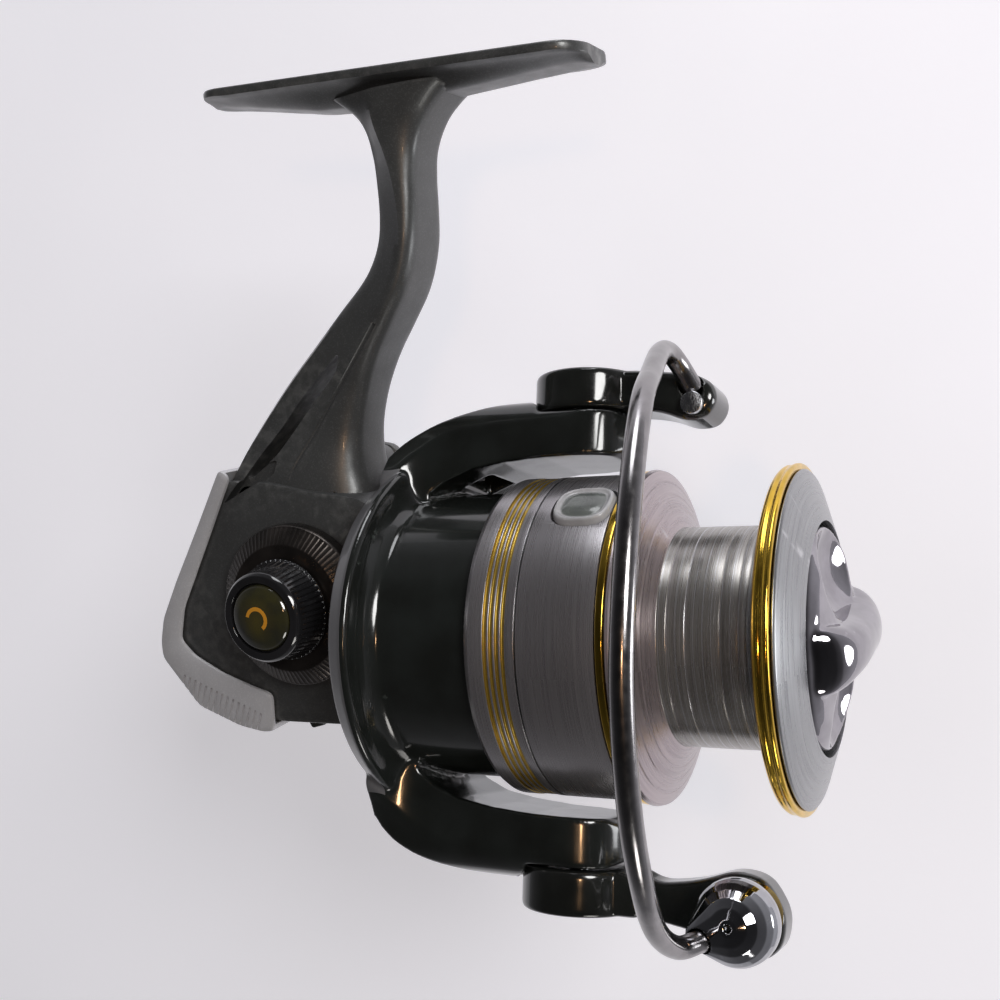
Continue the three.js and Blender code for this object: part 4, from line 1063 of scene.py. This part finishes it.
def spool_profile():
    """(radius, x) points: skirt, rear flange, arbor, front cone and bore."""
    points = [(1.95, 49.6), (20.9, 49.6), (20.9, 33.1), (21.4, 33.1), (SKIRT_R, 33.9),
              (SKIRT_R, GROOVES_X)]
    for i in range(4):
        shift = i*GROOVE_PITCH
        points += [(21.5, 35.95+shift), (21.5, 36.35+shift),
                   (21.82, 36.42+shift), (21.82, 36.70+shift)]
    points += [(SKIRT_R, 39.2), (SKIRT_R, 40.2), (21.78, 40.25), (21.78, 40.4),
               (SKIRT_R, 40.45), (SKIRT_R, 50.7), (21.3, 50.7), (21.3, 52.3), (22.4, 52.3),
               (22.2, 53.0)]
    for r in (20.6, 18.9, 17.2):
        x = 53.0 + (22.2 - r)/7.7*3.0
        points += [(r+0.1, x-0.04), (r, x-0.08), (r-0.1, x+0.04)]
    points += [(ARBOR_R, 56.0)]
    for x in (57.2, 59.6, 63.9, 66.1, 67.2):
        points += [(ARBOR_R, x), (14.44, x+0.04), (14.44, x+0.12), (ARBOR_R, x+0.16)]
    return points + [
        (ARBOR_R, 68.0), (19.7, 69.3), (19.7, 71.85), (21.5, 71.85), (21.6, 72.05),
        (21.3, 72.3), (14.9, 74.4), (14.9, 70.2), (12.7, 70.2), (12.7, 62.6), (1.95, 62.6)]


def spool():
    body = lathe(spool_profile(), 216, fillet=0.09)
    body = cut(body, placed(prism(clip_outline(4.0, 4.3), 20.2, 30, "z"), CLIP))
    body = union(body, placed(prism(clip_outline(4.5, 4.8), 19.0, 20.0, "z"), CLIP))
    piece(body, "spool", sharp=30)
    lip = [(20.0, 69.5), (21.0, 69.4), (21.9, 69.75), (22.25, 70.3), (22.05, 70.8),
           (22.4, 71.2), (22.35, 71.6), (22.0, 71.75), (20.0, 71.75)]
    piece(lathe(lip, 216, fillet=0.25), "spool_lip_ring", sharp=60)
    piece(ring(21.55, 22.25, 51.0, 52.0, 216, fillet=0.2), "skirt_ring")


def line_clip():
    """Domed clip with a raised rim and a shallow moat round the centre."""
    rings = 18
    outline = clip_outline(3.7, 4.0)
    n = len(outline)
    verts = []
    for k in range(rings + 1):
        t = k/rings
        rim = 0.40*exp(-((t - 0.88)/0.09)**2)
        dome = 0.42*(1 - min(1, (t/0.70)**4))
        height = 22.15 + rim + dome - (0.5 if k == rings else 0)
        for x, y in outline:
            across = y*t
            verts.append((CLIP_X + (x - CLIP_X)*t, across,
                          height - (across*across)/(2*22.2)*0.9))
    verts += [(x, y, 20.3) for x, y in outline]
    base = tuple(range(len(verts) - n, len(verts)))
    clip = make(verts, band_faces(rings + 2, n) + [base], triangulate=True)
    piece(remesh(placed(clip, CLIP), 0.11, 2), "line_clip")


spool()
line_clip()

# ---------------------------------------------------------------- drag knob
# y against the fin's front x, and against its half thickness
FIN_FRONT = [
    (-13.5, 73.6), (-13.2, 75.2), (-11.6, 78.0), (-7, 79.8), (0, 80.2), (7, 79.8),
    (11.6, 78.0), (13.2, 75.2), (13.5, 73.6)]
FIN_HALF = [
    (-13.5, 3.2), (-12, 4.3), (-7, 3.8), (0, 3.4), (7, 3.8), (12, 4.3), (13.5, 3.2)]
FIN_BASE = 72.0


def knob_scoop(z):
    """Ball stretched along y that hollows the knob beside the fin."""
    r = 9
    arc = [(r*sin(pi*i/32), -r*cos(pi*i/32)) for i in range(1, 32)]
    ball = lathe([(0, -r)] + arc + [(0, r)], 96, "y", (82, 0, z), fillet=0)
    return placed(ball, Matrix.Diagonal((1, 1.25, 1, 1)))


def knob_fin():
    sections = []
    for i in range(61):
        y = -13.5 + 27*i/60
        front, half = curve(FIN_FRONT, y), curve(FIN_HALF, y)
        section = []
        for k in range(21):
            c, s = cos(pi*k/20), sin(pi*k/20)
            section.append((FIN_BASE + (front - FIN_BASE)*s**0.42, y,
                            half*copysign(abs(c)**0.85, c)))
        sections.append(section)
    return loft(sections)


def drag_knob():
    profile = [(0, 68.2), (6.0, 68.2), (6.0, 71.0), (13.6, 71.0), (14.2, 72.0), (14.2, 74.2),
               (12.4, 75.4), (8.0, 76.4), (0, 77.0)]
    knob = cut(lathe(profile, fillet=0.6), knob_scoop(9.5), knob_scoop(-9.5))
    knob = cut(remesh(joined(knob, knob_fin()), 0.17, 9), disc(2.05, 60, 77.7, 48))
    piece(remesh(knob, 0.15, 4), "drag_knob", sharp=50)


drag_knob()

# the nodes still shown keep their own shape
for name, obj in frame["nodes"].items():
    if not obj.hide_render:
        obj.data.materials.clear()
        obj.data.materials.append(MATERIALS[SLOTS[name]])


# ---------------------------------------------------------------- stage, light and camera
def backdrop():
    """Pale glowing wall behind the reel, seen through from its back."""
    m = Shader("backdrop")
    m.set(Base_Color=m.mottled(m.noise(size=60), (0.765, 0.755, 0.815), (0.79, 0.78, 0.835),
                               0.3, 0.7),
          Roughness=m.varied(0.75, swing=0.05),
          Emission_Color=(0.97, 0.965, 1.0, 1), Emission_Strength=0.36)
    m.bump(m.noise(size=2.0), depth=0.02)
    sides = m.node("MixShader", m.node("NewGeometry").outputs["Backfacing"],
                   m.principled.outputs[0], m.node("BsdfTransparent").outputs[0])
    feed(m.output.inputs[0], sides.outputs[0])
    far, right, y = 1.6, 0.16, 0.080    # metres
    mesh = bpy.data.meshes.new("backdrop")
    mesh.from_pydata([(-far, y, -far), (right, y, -far), (right, y, far), (-far, y, far)],
                     [], [(0, 1, 2, 3)])
    wall = bpy.data.objects.new("backdrop", mesh)
    bpy.context.scene.collection.objects.link(wall)
    mesh.materials.append(m.material)


def area(name, at, size, power, color, target=(0.0, 0, -0.06)):
    light = bpy.data.lights.new(name, "AREA")
    light.shape = "DISK"
    light.size = size
    light.energy = power
    light.color = color
    obj = bpy.data.objects.new(name, light)
    bpy.context.scene.collection.objects.link(obj)
    obj.location = at
    obj.rotation_mode = "QUATERNION"
    obj.rotation_quaternion = (Vector(target) - Vector(at)).to_track_quat("-Z", "Y")
    return obj


def world():
    """Flat colour for the camera; reflections see a ramp that brightens towards +y."""
    scene_world = bpy.data.worlds.new("w")
    bpy.context.scene.world = scene_world
    scene_world.use_nodes = True
    tree = scene_world.node_tree
    tree.nodes.clear()
    place = add_node(tree, "TexCoord").outputs["Generated"]
    y = add_node(tree, "SeparateXYZ", place).outputs[1]
    ramp = add_node(tree, "ValToRGB", add_node(tree, "MapRange", y, -1, 1).outputs[0])
    elements = ramp.color_ramp.elements
    # position, brightness
    stops = [(0.0, 0.020), (0.22, 0.05), (0.42, 0.16), (0.60, 0.42), (0.85, 0.85)]
    for i, (position, v) in enumerate(stops):
        element = elements[i] if i < 2 else elements.new(position)
        element.position = position
        element.color = (v, v*0.99, v*1.05, 1)
    surround = add_node(tree, "Background", ramp.outputs[0], 0.75)
    seen = add_node(tree, "Background", (0.79, 0.785, 0.82, 1), 1.0)
    mix = add_node(tree, "MixShader", add_node(tree, "LightPath").outputs["Is Camera Ray"],
                   surround.outputs[0], seen.outputs[0])
    add_node(tree, "OutputWorld", mix.outputs[0])


def camera():
    data = bpy.data.cameras.new("camera")
    data.sensor_width = 36
    data.lens = 43.2
    data.clip_start = 0.01
    data.clip_end = 20
    obj = bpy.data.objects.new("camera", data)
    bpy.context.scene.collection.objects.link(obj)
    right = (0.9004958, 0.4240612, -0.0963295)
    up = (0.0355457, 0.1489973, 0.9881985)
    back = (0.4334095, -0.8932927, 0.1190979)
    turn = Matrix((right, up, back)).transposed().to_4x4()
    obj.matrix_world = Matrix.Translation((0.08328, -0.15113, -0.03986)) @ turn
    bpy.context.scene.camera = obj


backdrop()
area("key", (0.46, -0.42, 0.20), size=0.26, power=2.7, color=(1.0, 0.99, 0.98))
fill = area("fill", (-0.22, -0.62, 0.10), size=0.5, power=0.60, color=(0.95, 0.95, 1.0))
fill.visible_glossy = False
area("side", (0.36, 0.10, -0.12), size=0.13, power=0.30, color=(0.97, 0.98, 1.0),
     target=(0.05, 0, -0.08))
area("top", (0.05, -0.06, 0.55), size=0.30, power=1.3, color=(0.96, 0.97, 1.0))
area("under", (0.20, -0.22, -0.50), size=0.16, power=0.40, color=(1.0, 0.97, 0.93))
area("warm", (0.20, -0.44, -0.02), size=0.03, power=0.16, color=(1.0, 0.58, 0.30))
world()
camera()
bpy.context.scene.view_settings.view_transform = "Standard"
